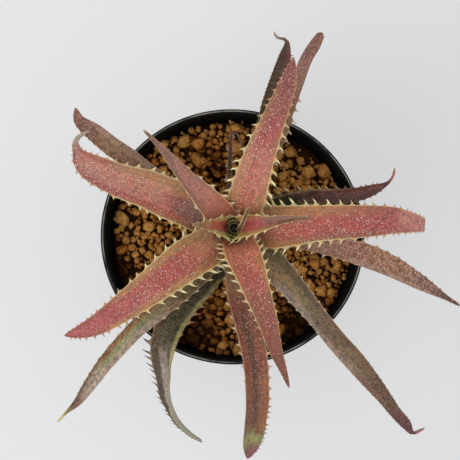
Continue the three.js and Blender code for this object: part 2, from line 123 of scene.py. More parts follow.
# Accents that mark single leaves.
ACCENTS = {
    "green": "76864a",
    "lime": "93a068",
    "sage": "989a82",
    "forest": "38401e",
    "rust": "8f5c2c",
    "umber": "5c4226",
    "soot": "2a1e14",
    "ash": "a38d80",
    "lilac": "7c6a68",
    "dusk": "80543f",
    "plum": "663a3a",
    "wine": "b0484c",
    "tan": "b88c5a",
    "ember": "d2765a",
    "blush": "cc8878",
    "garnet": "b24e58",
    "fawn": "b58e64",
    "straw": "c6b878",
    "orchid": "96626a",
    "russet": "82402c",
    "taupe": "86665a",
    "bark": "50311e",
    "pearl": "beaea2",
    "mauve": "5e3038",
}

# The leaves from the top of the rosette down, in millimetres, with left and right as seen when looking
# outward from the stem.
# "root": azimuth in degrees, height and width where the leaf leaves the stem.
# "route": stations of the midrib to the tip as x, y, height, width and, where it is rolled, degrees.
# "fold": how far the margins stand up as a share of the half width, and "cup": what the base adds to it.
# "rib": thickness at the base and at the tip.
# "claws": shares of length that carry spines, their spacing against the usual and their length at the base
# and at the tip. "fade": share of length where they reach the latter. "sides": length of the left and the
# right row against that. "bare": a side (1 left, -1 right) and where its spines begin to be small.
# "stripe": the heart's centre and half width across the blade, left positive.
# "dots", "claw", "under": in place of the finish's own. "net": how strong the pale net is.
# "patches": accents as name, shares along, shares across unless the whole width is meant, and strength.
LEAVES = {
    # Painted shade: soot darkens the base deep in the crown, and umber the right side where the fold's shadow
    # falls.
    "leaf_heart_folded": {
        "kind": "mauve", "fold": 0.7, "rib": (1.2, 0.7), "root": (330, 105.7, 1.8),
        "route": [(3.6, 3.2, 114.5, 1.8), (5, 6.5, 121, 1.4), (6, 9, 126, 0.9)],
        "claws": (0.35, 0.9, 0.9, 0.35, 0.25),
        "patches": [
            ("bark", 0, 1.2, -0.6, 0.6, 0.7), ("soot", 0, 0.35, 0.6), ("straw", 0.2, 1.2, 0.55, 1.3, 0.8),
            ("umber", 0.2, 1.2, -1.3, -0.3, 0.6),
        ],
    },
    "leaf_inner_east": {
        "kind": "crimson", "fold": 0.42, "rib": (1.4, 0.7), "root": (8, 102.6, 8.5),
        "route": [(8, 3.4, 111.5, 8), (14, 4, 117.5, 4.8), (21.5, 5, 123, 2.4), (29, 5, 128, 0.9)],
        "claws": (0.03, 0.8, 1, 3.2, 0.5), "cup": 0.55, "fade": 0.7, "sides": (0.5, 1), "dots": (0.3, 0.2),
        "patches": [
            ("garnet", 0, 0.45, 0, 1.3, 0.5), ("taupe", 0.42, 1.2, 0, 1.3, 0.6),
            ("bark", 0.6, 1.2, -1.3, 0, 0.45),
        ],
    },
    # The straw and ember near the base are partly the leaf's own colours and partly painted light against the
    # shade among the sheaths.
    "leaf_inner_west": {
        "kind": "crimson", "fold": 0.42, "rib": (1.4, 0.7), "root": (174, 100.6, 8.5),
        "route": [(-6, 3, 109.5, 7), (-10, 3, 115, 3.2), (-15, 3, 121, 0.9)],
        "claws": (0.03, 0.9, 1, 2.6, 0.5), "cup": 0.55, "stripe": (0, 1.1),
        "patches": [
            ("garnet", 0, 0.6, -0.6, 0.6, 0.4), ("ember", 0.1, 0.7, -0.8, 0.8, 0.5),
            ("straw", 0, 0.55, 0.5, 1.3, 0.95), ("straw", 0, 0.5, -1.3, -0.6, 0.7),
            ("fawn", 0.6, 1.2, 0.4),
        ],
    },
    "leaf_young_northwest": {
        "kind": "mauve", "fold": 0.3, "rib": (1.8, 0.7), "root": (132, 98.6, 10.5),
        "route": [
            (-8.1, 11.2, 110.3, 10.6), (-16.4, 19.6, 120, 6.8), (-21.6, 25.2, 126.5, 4.7),
            (-25.8, 30, 132, 2.8), (-29.2, 33.4, 135.5, 1.6), (-32.5, 36.5, 138, 0.9),
        ],
        "claws": (0.03, 0.85, 1.5, 3.6, 0.4), "bare": (1, 0.3), "fade": 0.6, "dots": (1.3, 0.7),
        "patches": [
            ("ember", 0, 0.3, 0.4), ("blush", 0.05, 0.7, -0.6, 0.6, 0.4), ("orchid", 0.35, 0.9, 0.2),
        ],
    },
    # The ember at the base is the leaf's own orange-red, made brighter as painted light against the shade at
    # the crown.
    "leaf_broad_south": {
        "kind": "rose", "fold": 0.25, "rib": (2.1, 0.8), "root": (287, 97.3, 10.4),
        "route": [
            (3.7, -7, 107.5, 13.6), (6.5, -14, 113.5, 12.4), (9, -21.5, 118, 10.4), (13, -33, 122, 7.6),
            (16, -44, 124, 5), (19, -52, 124.5, 2.6), (21, -58, 124, 0.9),
        ],
        "claws": (0.05, 0.95, 0.85, 4, 0.4), "fade": 0.75, "sides": (0.6, 1), "dots": (1, 0.2),
        "patches": [
            ("ember", 0, 0.26, 0.65), ("wine", 0.22, 0.6, -1.3, -0.3, 0.35), ("dusk", 0.45, 1.2, 0.6),
            ("umber", 0.8, 1.2, 0.35),
        ],
    },
    # The ember at the base is the leaf's own salmon-orange, made brighter as painted light against the shade
    # at the crown.
    "leaf_broad_north": {
        "kind": "rose", "fold": 0.24, "rib": (2.1, 0.8), "root": (68, 95.8, 11),
        "route": [
            (5.5, 13.5, 107, 14.4), (9.9, 28, 116, 12.4), (14.5, 40, 120, 9.6), (18.9, 51, 121, 7.6),
            (21.8, 60, 119.5, 5), (23.5, 67.5, 117, 0.9),
        ],
        "claws": (0.06, 0.95, 0.95, 4.2, 0.9), "sides": (0.85, 1), "dots": (1.2, 0.7),
        "patches": [
            ("ember", 0, 0.24, 0.4), ("tan", 0, 0.26, -1.3, -0.4, 0.5), ("fawn", 0, 0.45, 0.4, 1.3, 0.4),
            ("blush", 0.2, 0.5, 0.3), ("orchid", 0.45, 1.2, -0.6, 0.6, 0.15),
            ("fawn", 0.45, 0.85, 0.6, 1.3, 0.35), ("dusk", 0.62, 1.2, 0.35),
        ],
    },
    "leaf_broad_southwest": {
        "kind": "rose", "fold": 0.24, "rib": (2.1, 0.8), "root": (214, 93.8, 10.6),
        "route": [
            (-6.5, -3, 100, 15), (-16.5, -9.5, 107.2, 16.4), (-24.5, -15.5, 111.5, 15),
            (-32.5, -21.7, 113.5, 13), (-42.5, -28.9, 113.7, 10.5), (-51, -34.5, 112.5, 8.2),
            (-58, -37.5, 110.5, 5.4), (-65.2, -39.4, 108, 0.9),
        ],
        "claws": (0.07, 0.97, 1.05, 3.8, 0.9), "sides": (1, 0.7), "dots": (1.2, 0.4),
        "patches": [
            ("tan", 0, 0.24, -1.3, 0.2, 0.6), ("tan", 0.15, 0.7, -1.3, -0.6, 0.5),
            ("tan", 0.25, 0.8, 0.6, 1.3, 0.5), ("ember", 0.08, 0.3, -0.5, 0.4, 0.3),
            ("wine", 0.28, 1, -0.5, 0.4, 0.3), ("blush", 0.5, 1.2, -0.5, 0.7, 0.15),
        ],
    },
    "leaf_broad_east": {
        "kind": "rose", "fold": 0.24, "rib": (2.1, 1), "root": (4, 93, 11.5),
        "route": [
            (14, 3, 101.5, 16.4), (20.5, 3, 105.5, 16.4), (33.5, 4, 111, 14), (49, 4.5, 113.5, 12.6),
            (60.5, 5, 112.5, 10.6), (68.5, 4.5, 109.5, 8), (73.5, 4, 105.5, 5.8), (75.8, 3.5, 102, 3.8),
        ],
        "claws": (0.06, 0.98, 0.95, 3.6, 0.8), "stripe": (-0.15, 0.6), "fade": 0.9, "dots": (1.1, 0.9),
        "patches": [
            ("fawn", 0, 0.2, 0.1, 1.3, 0.6), ("tan", 0.1, 0.55, 0.65, 1.3, 0.3),
            ("wine", 0.3, 0.92, -0.75, -0.05, 0.28), ("garnet", 0.35, 0.8, -0.9, -0.4, 0.3),
            ("dusk", 0.3, 0.7, -1.3, -0.5, 0.45), ("blush", 0.8, 1.2, 0.65),
        ],
    },
    "leaf_broad_west": {
        "kind": "rose", "fold": 0.22, "rib": (2.1, 0.9), "root": (156, 91.2, 10.8),
        "route": [
            (-11, 7.5, 97, 14.5), (-18.5, 11.5, 101.5, 16), (-25, 14, 105, 16), (-33.5, 17.5, 108.5, 15),
            (-43.5, 20.5, 111, 13), (-53.8, 25.2, 111, 10.8), (-58.9, 29.2, 109, 7.2),
            (-61, 32.9, 106, 3.8), (-62.2, 36.2, 103, 2.6), (-61.4, 38.9, 101, 2.6),
            (-59.6, 40.5, 100, 2.5), (-57, 41.8, 99, 2.2),
        ],
        "claws": (0.08, 0.86, 1, 3.2, 0.7), "stripe": (0.2, 0.7), "sides": (0.7, 0.75), "dots": (1, 1.3),
        "patches": [
            ("taupe", 0, 0.22, 0.5), ("lilac", 0.04, 0.3, -0.3, 0.5, 0.45),
            ("fawn", 0.2, 0.62, -1.3, -0.3, 0.5), ("blush", 0.3, 1.2, -0.5, 0.6, 0.5),
            ("orchid", 0.5, 1.2, -0.2, 1.3, 0.25), ("fawn", 0.35, 0.8, -0.3, 0.5, 0.25),
            ("sage", 0.86, 1.2, 0.6), ("pearl", 0.9, 1.2, 0.6),
        ],
    },
    # The ash and pearl of the right half and the bark of the left half are partly own colour and partly
    # painted light and painted shade of the channel's halves.
    "leaf_long_southeast": {
        "kind": "olive", "fold": 0.26, "rib": (2, 0.8), "root": (312, 89.7, 9.4),
        "route": [
            (11.5, -6.5, 95, 10.6), (18.5, -14.5, 99.5, 11), (25, -22, 102.5, 9.6), (33, -32, 104.5, 8),
            (40, -40.7, 104, 8), (48, -49.6, 101, 8.2), (55.7, -58.6, 96.5, 6.9), (61, -65, 92.5, 5.6),
            (65.5, -70.7, 88.5, 4.7), (70.4, -76, 84.5, 4.2), (73.8, -80.2, 81.5, 1.5),
            (78.6, -78.2, 82, 0.9),
        ],
        "claws": (0.09, 0.9, 0.8, 2, 0.35), "fade": 0.4, "net": 0.22,
        "patches": [
            ("green", 0, 0.34, -0.6, 1.3, 0.45), ("rust", 0, 0.3, 0.3), ("forest", 0, 0.3, 0, 1.3, 0.6),
            ("fawn", 0.1, 0.36, -0.7, 0.3, 0.45), ("ash", 0.2, 0.8, -1.3, -0.3, 0.6),
            ("pearl", 0.22, 0.8, -1.3, -0.6, 0.4), ("umber", 0.3, 0.8, -0.2, 0.4, 0.6),
            ("green", 0.3, 0.7, -0.3, 0.3, 0.25), ("dusk", 0.4, 0.85, 0.35),
            ("bark", 0.2, 1.2, 0.4, 1.3, 0.75), ("bark", 0.36, 0.52, -0.6, 0.3, 0.5),
            ("plum", 0.6, 0.9, -1.3, -0.5, 0.75), ("bark", 0.66, 0.9, -0.5, 1.3, 0.75),
            ("mauve", 0.82, 0.97, 1.2), ("blush", 0.97, 1.2, 0.7),
        ],
    },
    "leaf_narrow_northeast": {
        "kind": "brown", "fold": 0.3, "rib": (1.8, 0.9), "root": (64, 88.8, 8),
        "route": [
            (10, 22, 98, 6.6), (18, 39, 104.5, 6.2), (21.2, 48.6, 106, 5.8), (25, 58.7, 106, 5.4),
            (29, 69, 104.5, 4.8), (32.7, 75.4, 102.5, 4.6), (35.8, 81.2, 99.5, 2.8),
        ],
        "claws": (0.2, 0.64, 0.95, 2.6, 1.8), "sides": (0.3, 1), "dots": (0.9, 1.2), "net": 0.25,
        "patches": [
            ("rust", 0.3, 0.72, -1.3, -0.1, 0.9), ("umber", 0.4, 0.68, -1.3, -0.4, 0.5),
            ("russet", 0.3, 0.62, -1.3, 0.2, 0.5), ("green", 0.3, 0.6, -1.3, -0.4, 0.3),
            ("orchid", 0.6, 1.2, 0.5), ("dusk", 0.66, 1.2, -1.3, 0.5, 0.6),
        ],
    },
    # The fawn and pearl of the left half and the rust, bark and soot of the right half are partly own colour
    # and partly painted light and painted shade of the channel's halves.
    "leaf_long_southwest": {
        "kind": "olive", "fold": 0.45, "rib": (1.8, 0.8), "root": (230, 87.4, 8),
        "route": [
            (-8, -10.5, 92.5, 7.6), (-19, -21, 97.8, 8), (-28.5, -29.5, 100.2, 7.2),
            (-36.5, -36, 99.8, 7.2), (-44.2, -43.8, 96.5, 6.8), (-52.1, -52.8, 90.5, 6.2),
            (-58.6, -61.3, 83, 5), (-64.2, -68.2, 76, 3.2), (-69.5, -73, 71, 1.2), (-74, -77.5, 66, 0.9),
        ],
        "claws": (0.12, 0.82, 1.3, 2.2, 0.6), "bare": (1, 0.3), "fade": 0.6, "net": 0.35,
        "patches": [
            ("umber", 0.1, 0.3, -0.6, 1.3, 0.4), ("fawn", 0.3, 0.72, -0.6, 1.3, 0.55),
            ("pearl", 0.36, 0.84, 0, 1.3, 0.6), ("green", 0.34, 0.7, -0.55, 0.15, 0.8),
            ("lime", 0.42, 0.68, -0.35, 0.1, 0.6), ("rust", 0.26, 0.68, -1.3, -0.4, 0.95),
            ("bark", 0.35, 0.9, -1.3, -0.75, 0.75), ("pearl", 0.66, 0.84, -0.7, 1.3, 0.5),
            ("bark", 0.68, 0.84, -1.3, -0.5, 0.5), ("dusk", 0.8, 0.93, -0.6, 1.3, 0.75),
            ("soot", 0.84, 0.96, -1.3, -0.2, 0.9), ("straw", 0.91, 1.2, 0.9),
        ],
    },
    "leaf_long_east": {
        "kind": "brown", "fold": 0.26, "rib": (1.8, 0.8), "root": (344, 86.5, 7.6),
        "route": [
            (12, 0.4, 90.2, 7.4), (27, -2, 96, 6.6), (38.5, -4.3, 99.3, 7.6), (50, -7.3, 101, 9.3),
            (62, -12, 100, 8.6), (73.5, -18, 96.5, 6.4), (81.8, -22.5, 93, 3.6), (86.8, -25.2, 90.5, 2),
            (92.3, -28.1, 88, 1.1),
        ],
        "claws": (0.12, 0.88, 1, 2.2, 0.6), "bare": (-1, 0.35), "fade": 0.7, "net": 0.7,
        "patches": [
            ("orchid", 0.1, 0.5, 0.5), ("fawn", 0.12, 0.36, -0.7, 0.4, 0.5), ("russet", 0.36, 0.9, 0.6),
            ("rust", 0.5, 0.9, 0.45, 1.3, 0.45), ("ash", 0.45, 1.2, -1.3, -0.5, 0.5),
            ("bark", 0.66, 0.95, 0.35, 1.3, 0.6), ("mauve", 0.72, 0.92, -0.6, 0.8, 0.9),
            ("soot", 0.88, 0.97, -0.6, 1.3, 0.9),
        ],
    },
    "leaf_lower_northwest": {
        "kind": "brown", "fold": 0.26, "rib": (1.8, 0.8), "root": (144, 85, 8.2),
        "route": [
            (-13, 13.5, 89.5, 8.2), (-27.9, 20.8, 94.5, 8.3), (-34, 24.8, 96, 8.2), (-41.4, 30.8, 97, 8),
            (-48.5, 35.8, 96.7, 7.7), (-55.2, 41.3, 95, 7.2), (-61.6, 46.4, 93, 4.7), (-64, 52.3, 91, 1.1),
        ],
        "claws": (0.15, 0.96, 0.95, 2, 0.4), "bare": (-1, 0.3), "fade": 0.5, "dots": (1.2, 1), "net": 0.3,
        "patches": [
            ("umber", 0.1, 0.5, 0.55), ("rust", 0.35, 0.7, -0.5, 0.8, 0.4),
            ("ash", 0.3, 0.9, -1.3, -0.35, 0.5), ("fawn", 0.3, 0.8, -0.6, 0.6, 0.35),
            ("bark", 0.5, 0.66, -0.3, 1.3, 0.55), ("plum", 0.82, 0.96, 0.6), ("blush", 0.95, 1.2, 0.5),
        ],
    },
    # Painted shade: the bark and soot down the middle darken the groove.
    "leaf_hanging_south": {
        "kind": "brown", "fold": 0.34, "rib": (2, 0.9), "root": (278, 84.4, 7.6),
        "route": [
            (1.6, -10.5, 89, 9), (2.4, -21.5, 93.5, 9.6), (5.2, -33, 96.3, 9.8), (7.9, -43.5, 97.2, 9.8),
            (9.3, -53.5, 96, 9.6), (9.9, -65.5, 87.5, 9.4), (9.3, -76.5, 76.5, 8.8), (8.1, -86, 66, 7.6),
            (6.6, -94, 58.5, 1.6),
        ],
        "claws": (0.12, 0.95, 1.1, 2, 0.9), "bare": (-1, 0.45), "dots": (0.9, 0.4),
        "patches": [
            ("fawn", 0.05, 0.36, -1.3, 0.2, 0.5), ("russet", 0.2, 0.85, 1),
            ("rust", 0.5, 0.85, 0.4, 1.3, 0.45), ("umber", 0.55, 0.86, -1.3, 0.6, 0.35),
            ("bark", 0.26, 0.82, -0.35, 0.14, 0.85), ("soot", 0.3, 0.68, -0.3, 0.1, 0.3),
            ("green", 0.04, 0.3, 0.4, 1.3, 0.4), ("green", 0.82, 0.93, 0.9),
            ("straw", 0.83, 0.92, -1.3, 0.6, 0.3), ("orchid", 0.93, 1.2, 0.5), ("plum", 0.94, 1.2, 0.6),
        ],
    },
    # The forest and soot near the base are partly own colour and partly painted shade.
    "leaf_dark_east": {
        "kind": "dark", "fold": 0.55, "rib": (1.4, 0.8), "root": (34, 83.2, 5.4),
        "route": [
            (9.6, 8.4, 87, 5), (17.5, 13, 90.8, 5.2), (27, 15.4, 94.8, 5.4), (38.5, 15.8, 98, 5.6),
            (47.5, 15.9, 100.5, 5.6), (55, 17.7, 102, 4.4), (61, 20.3, 103, 1.4), (63.5, 23.5, 103, 0.9),
            (64, 26.5, 102.5, 0.9),
        ],
        "claws": (0.15, 0.85, 0.8, 2.9, 0.9), "fade": 0.75, "sides": (1.4, 0.8),
        "patches": [
            ("forest", 0, 0.4, 0.6), ("soot", 0.2, 0.5, -0.6, 1.3, 0.5), ("plum", 0.4, 0.94, 0.7),
            ("russet", 0.55, 0.95, 0.2, 1.3, 0.45), ("orchid", 0.5, 0.9, -0.2, 0.5, 0.35),
            ("fawn", 0.1, 0.62, 0.72, 1.3, 0.6), ("blush", 0.9, 1.2, 0.8),
        ],
    },
    # Painted shade: the soot over most of the blade darkens the shaded upper face.
    "leaf_dark_north": {
        "kind": "dark", "fold": 0.26, "rib": (1.7, 0.8), "root": (80, 80.2, 6.2),
        "route": [
            (4.5, 15, 85, 6.8), (8, 28, 91, 6.6), (12.4, 42.5, 95.7, 6.2), (14.8, 52.5, 96.3, 6.2),
            (18.2, 63, 94.5, 6), (21.3, 73, 91.5, 4.8), (22.2, 80.2, 89, 1.5), (18.5, 82, 88, 0.9),
            (17, 84.5, 87.3, 0.9),
        ],
        "claws": (0.2, 0.84, 0.45, 1.6, 1.5), "sides": (0.25, 1), "claw": "a06a50",
        "patches": [
            ("soot", 0.2, 0.9, 0.55), ("umber", 0.3, 0.7, 0.2, 1.3, 0.5),
            ("mauve", 0.55, 0.9, -1.3, 0, 0.8), ("russet", 0.6, 0.88, -1.3, -0.5, 0.5),
            ("bark", 0.6, 0.94, -0.4, 1.3, 0.6), ("pearl", 0.95, 1.2, 1),
        ],
    },
    # Painted shade: the soot patches darken the upper face, which is turned from the light.
    "leaf_hanging_southwest": {
        "kind": "dark", "fold": 0.5, "rib": (1.9, 0.9), "root": (241, 80, 6.4),
        "route": [
            (-4.5, -10.5, 84.8, 8), (-11, -19.5, 90, 9.6), (-19, -28, 93.4, 10.6),
            (-24.8, -37.6, 96.2, 11, 8), (-26.8, -46.2, 96, 11, 26), (-26.9, -54.4, 88, 10.6, 42),
            (-27.2, -62.2, 78, 9.2, 50), (-26.3, -70.4, 68, 7.8, 50), (-23.2, -78.1, 60, 6.2, 45),
            (-18.6, -84, 53, 4, 40), (-13.2, -88.7, 47, 1, 40),
        ],
        "claws": (0.25, 0.99, 1.1, 4.2, 1.7), "claw": "8c5a48", "bare": (1, 0.3), "under": "c8c8ae",
        "net": 0.3,
        "patches": [
            ("soot", 0, 0.4, -1.3, 0.55, 1), ("forest", 0.15, 0.5, -1.3, 0.6, 0.7),
            ("lilac", 0.42, 0.7, -0.4, 0.3, 0.7), ("bark", 0.3, 0.68, -1.3, -0.5, 0.75),
            ("soot", 0.48, 0.72, -1.3, -0.4, 0.8), ("pearl", 0.48, 0.88, -0.4, 0.7, 0.6),
            ("green", 0.12, 1.2, 0.55, 1.3, 0.6), ("straw", 0.15, 1.2, 0.7, 1.3, 0.8),
            ("soot", 0.68, 1.2, -1.3, -0.5, 0.9), ("sage", 0.66, 1.2, -0.4, 1.3, 0.6),
            ("pearl", 0.64, 0.95, -0.4, 0.6, 0.6),
        ],
    },
    "leaf_small_north": {
        "kind": "brown", "fold": 0.3, "rib": (1, 0.7), "root": (99, 83.2, 2),
        "route": [
            (-1.6, 13, 84.4, 2), (-1.4, 21.5, 87.5, 2), (-1, 30.5, 90.5, 1.8), (-0.8, 36, 91.5, 1.5),
            (-0.2, 41.5, 91.5, 1.3), (2, 42, 90, 1.2), (3.6, 39, 88, 1.1), (4.5, 36, 86, 0.9),
        ],
        "claws": (0.35, 0.75, 1.6, 1.5, 0.9), "dots": (0.5, 0.1),
        "patches": [
            ("bark", 0.28, 0.8, 1.2), ("soot", 0.38, 0.66, -1.3, 0.4, 0.8), ("mauve", 0.6, 1.2, 0.4),
            ("green", 0.2, 0.42, 0, 1.3, 0.4),
        ],
    },
}

# Sheaths round the crown's dark hole, as foot, rim, radius at foot and rim in millimetres, the azimuths
# of the two ends in degrees and the paleness of the rim.
SHEATHS = (
    (103.0, 106.4, (1.5, 2.1), -75, 284, 0.75),
    (102.0, 107.2, (2.1, 3.1), 48, 150, 0.9),
    (101.0, 107.4, (3.0, 4.6), 62, 128, 1),
    (101.5, 106.8, (2.3, 3.4), 200, 296, 0.85),
    (100.0, 106.4, (3.0, 4.6), 192, 315, 1),
    (99.5, 105.6, (3.8, 5.5), 205, 312, 1),
)

# Single grains that lie on top, as x, y and radius in millimetres and paleness.
TOP_GRAINS = (
    (40.3, 29.5, 3.1, 1.0), (30.7, 27.4, 2.9, 0.75), (-19.8, 39.6, 2.9, 0.65), (-13.8, 38.9, 3.0, 0.6),
    (-45.3, 7.7, 2.8, 1.0), (18.9, -38.3, 2.8, 0.8), (33.5, -11, 2.6, 0.7), (-15.5, -42.4, 3.2, 0.35),
    (-29, 40, 2.2, 0.8), (28.2, 32.4, 2, 0.7), (20.7, 25.7, 2.6, 0.7), (42.6, -11.8, 2.2, 0.7),
    (40.1, -23.4, 2.3, 0.8), (-4.3, -45.7, 2.4, 0.75), (1.9, -47.2, 2.2, 0.8), (1.1, 45.9, 2.6, 0.7),
)

# Spots of the filling darkened as painted shade, where leaves and the wall cast shadow, as x, y and radius in
# millimetres and how much darker they are.
PAINTED_SHADE_SPOTS = (
    (30, -35, 15, 0.88), (-8, 30, 11, 0.6), (-47, -15, 10, 0.8), (-17, -37, 14, 0.8), (21, 15, 6, 0.6),
    (5, -42, 4, 0.5),
)

# Spacing of the spines in millimetres at shares of a leaf's length, and the points of a blade across its
# half width.
CLAW_SPACING = ((0.0, 3.4), (0.3, 4.8), (0.6, 4.6), (0.85, 2.7), (1.0, 1.8))
BLADE_STEPS = (0, 0.3, 0.55, 0.75, 0.88, 0.95, 1)

# A place across a blade that lies past its margin, as a share of the half width.
BEYOND = 1.3


def length_property(name, description, size):
    return FloatProperty(name=name, description=description, default=size, unit="LENGTH")


def colour_property(name, description, shares):
    return FloatVectorProperty(name=name, description=description, default=shares, subtype="COLOR")


class PotSizes(bpy.types.PropertyGroup):
    """Sizes of the nursery pot."""

    height: length_property("Height", "Floor to lip", POT_HIGH.z)
    rim_radius: length_property(
        "Rim Radius", "Outside of the rolled lip", (POT_HIGH.x - POT_LOW.x + POT_HIGH.y - POT_LOW.y) / 4,
    )
    collar_foot: length_property("Collar Foot", "Height where the collar starts", 68 * MM)
    base_radius: length_property("Base Radius", "Outside of the underside", 38 * MM)
    wall: length_property("Wall", "Wall thickness", 1.1 * MM)
    out_of_round: FloatProperty(
        name="Out of Round", description="Share by which the rim is wider one way", default=0.0165,
    )
    oval_turn: FloatProperty(
        name="Oval Turn", description="Direction of the wider way", default=math.radians(-7),
        subtype="ANGLE",
    )
    slots: IntProperty(name="Drain Slots", description="Slots through the floor", default=8)
    plastic: colour_property("Plastic", "Colour of the plastic", tint("0d0d0e"))
    dust: colour_property("Dust", "Colour of dried dust on it", tint("5d5347"))


class SoilSizes(bpy.types.PropertyGroup):
    """Sizes and colours of the baked-clay grains."""

    level: length_property("Level", "Top of the bed under the grains", 73 * MM)
    large: IntProperty(name="Large Grains", description="Grains of 5 to 7 mm", default=36)
    middle: IntProperty(name="Middle Grains", description="Grains of 4 to 5 mm", default=210)
    small: IntProperty(name="Small Grains", description="Grains of 2 to 4 mm", default=1500)
    crumbs: IntProperty(name="Crumbs", description="Grains of 1 to 2 mm", default=900)
    seed: IntProperty(name="Seed", description="Fixes how the grains fall", default=31)
    # The clay colours follow each grain's tone, which holds painted shade, so the deep colour is that of
    # grains low in painted shade.
    pale: colour_property("Pale Clay", "Driest grains", tint("db9748"))
    warm: colour_property("Warm Clay", "Usual grains", tint("ae7136"))
    deep: colour_property("Deep Clay", "Damp, low grains", tint("2e1d0d"))


class LeafSizes(bpy.types.PropertyGroup):
    """Fineness of the leaves and of their spines."""

    claw_rows: IntProperty(name="Rows a Spine", description="Rows from one spine to the next", default=13)
    margin: length_property("Margin", "Thickness of the blade's margin", 0.7 * MM)
    lean_base: FloatProperty(name="Lean at Base", description="How far spines lean back", default=0.6)
    lean_tip: FloatProperty(name="Lean at Tip", description="How far the last ones lean", default=0.15)
    waver: length_property("Waver", "Height of the blade's slow waves", 0.22 * MM)
    seed: IntProperty(name="Seed", description="Fixes the spines' small differences", default=7)


class StageSizes(bpy.types.PropertyGroup):
    """Camera, floor and light."""

    eye: FloatVectorProperty(
        name="Eye", description="Place of the camera", subtype="XYZ", unit="LENGTH",
        default=(-1.009 * MM, -21.127 * MM, 541.383 * MM),
    )
    tilt: FloatProperty(
        name="Tilt", description="Lean of the view", default=math.radians(3), subtype="ANGLE",
    )
    lens: FloatProperty(name="Lens", description="Focal length in millimetres", default=87.28)
    floor: colour_property("Floor", "Colour of the table", (0.351, 0.351, 0.35))
    key: FloatProperty(name="Key Light", description="Power of the large soft light", default=7)
    glow: FloatProperty(name="Glow", description="Light that the table gives back", default=1.27)
    fill: FloatProperty(name="Fill", description="Strength of the light from all round", default=0.9)


class Wire:
    """An output socket of a shader. Sums of wires and numbers add Math nodes to the same shader."""

    def __init__(self, shader, socket):
        self.shader = shader
        self.socket = socket

    def maths(self, operation, *terms):
        return self.shader.add("ShaderNodeMath", {"operation": operation}, dict(enumerate(terms)))

    def __add__(self, other):
        return self.maths("ADD", self, other)

    def __radd__(self, other):
        return self.maths("ADD", other, self)

    def __sub__(self, other):
        return self.maths("SUBTRACT", self, other)

    def __rsub__(self, other):
        return self.maths("SUBTRACT", other, self)

    def __mul__(self, other):
        return self.maths("MULTIPLY", self, other)

    def __rmul__(self, other):
        return self.maths("MULTIPLY", other, self)

    def __truediv__(self, other):
        return self.maths("DIVIDE", self, other)

    def __rtruediv__(self, other):
        return self.maths("DIVIDE", other, self)

    def __abs__(self):
        return self.maths("ABSOLUTE", self)


class Shader:
    """A material with one Principled surface, and short ways to the nodes of its pattern."""

    def __init__(self, name):
        self.material = bpy.data.materials.new(name)
        self.material.use_nodes = True
        self.tree = self.material.node_tree
        self.tree.nodes.clear()

    def add(self, kind, settings=None, inputs=None, output=0):
        """One node of any type: its settings first, then a value or a wire for each socket."""
        node = self.tree.nodes.new(kind)
        for name, value in (settings or {}).items():
            if name == "stops":
                self.set_stops(node.color_ramp, value)
            else:
                setattr(node, name, value)
        for name, value in (inputs or {}).items():
            if isinstance(value, Wire):
                self.tree.links.new(value.socket, node.inputs[name])
            elif value is not None:
                node.inputs[name].default_value = value
        return Wire(self, node.outputs[output]) if len(node.outputs) else node

    @staticmethod
    def set_stops(ramp, stops):
        while len(ramp.elements) < len(stops):
            ramp.elements.new(1)
        for element, (place, colour) in zip(ramp.elements, stops):
            element.position = place
            element.color = (*colour, 1)

    def attribute(self, name):
        return self.add("ShaderNodeAttribute", {"attribute_name": name}, output="Fac")

    def ramp(self, value, stops):
        return self.add("ShaderNodeValToRGB", {"stops": stops}, {0: value})

    def step(self, value, low, high):
        """0 below low, 1 above high and a smooth rise between."""
        settings = {"interpolation_type": "SMOOTHSTEP"}
        return self.add("ShaderNodeMapRange", settings, {0: value, 1: low, 2: high})

    def blend(self, factor, first, second, how="MIX"):
        """Mixes two colours, each a wire or three numbers."""
        pair = [c if isinstance(c, Wire) else (*c, 1) for c in (first, second)]
        settings = {"data_type": "RGBA", "blend_type": how}
        return self.add("ShaderNodeMix", settings, {0: factor, 6: pair[0], 7: pair[1]}, 2)

    def stretched(self, place, scale):
        return self.add("ShaderNodeMapping", None, {"Vector": place, "Scale": scale})

    def vector(self, operation, *terms, **inputs):
        inputs.update(enumerate(terms))
        return self.add("ShaderNodeVectorMath", {"operation": operation}, inputs)

    def place(self):
        """Where the point lies on the object."""
        return self.add("ShaderNodeTexCoord", output="Object")

    def part(self, kind, whole, name):
        """One part of a place or colour, such as Z or Red."""
        return self.add("ShaderNodeSeparate" + kind, None, {0: whole}, name)

    def noise(self, place, scale, detail=2.0, roughness=0.5, flat=False, output=0):
        settings = {"noise_dimensions": "2D" if flat else "3D"}
        inputs = {"Vector": place, "Scale": scale, "Detail": detail, "Roughness": roughness}
        return self.add("ShaderNodeTexNoise", settings, inputs, output)

    def cells(self, place, scale, feature="F1", output="Distance"):
        settings = {"voronoi_dimensions": "2D", "feature": feature}
        return self.add("ShaderNodeTexVoronoi", settings, {"Vector": place, "Scale": scale}, output)

    def surface(self, colour, roughness, height=None, depth=0.0, **constants):
        """Joins the pattern to the Principled surface. Height becomes bump of a depth in metres."""
        inputs = {"Base Color": colour, "Roughness": roughness}
        if height is not None:
            inputs["Normal"] = self.add("ShaderNodeBump", None, {"Height": height, "Distance": depth})
        inputs.update({name.replace("_", " "): value for name, value in constants.items()})
        shine = self.add("ShaderNodeBsdfPrincipled", None, inputs)
        self.add("ShaderNodeOutputMaterial", None, {"Surface": shine})
        return self.material


def grid_faces(rows, columns):
    """Four-cornered faces of a grid numbered row by row whose last column joins its first."""
    row = np.arange(rows - 1)[:, None] * columns
    column = np.arange(columns)[None, :]
    after = (column + 1) % columns
    below = row + columns
    return np.stack([row + column, below + column, below + after, row + after], -1).reshape(-1, 4)


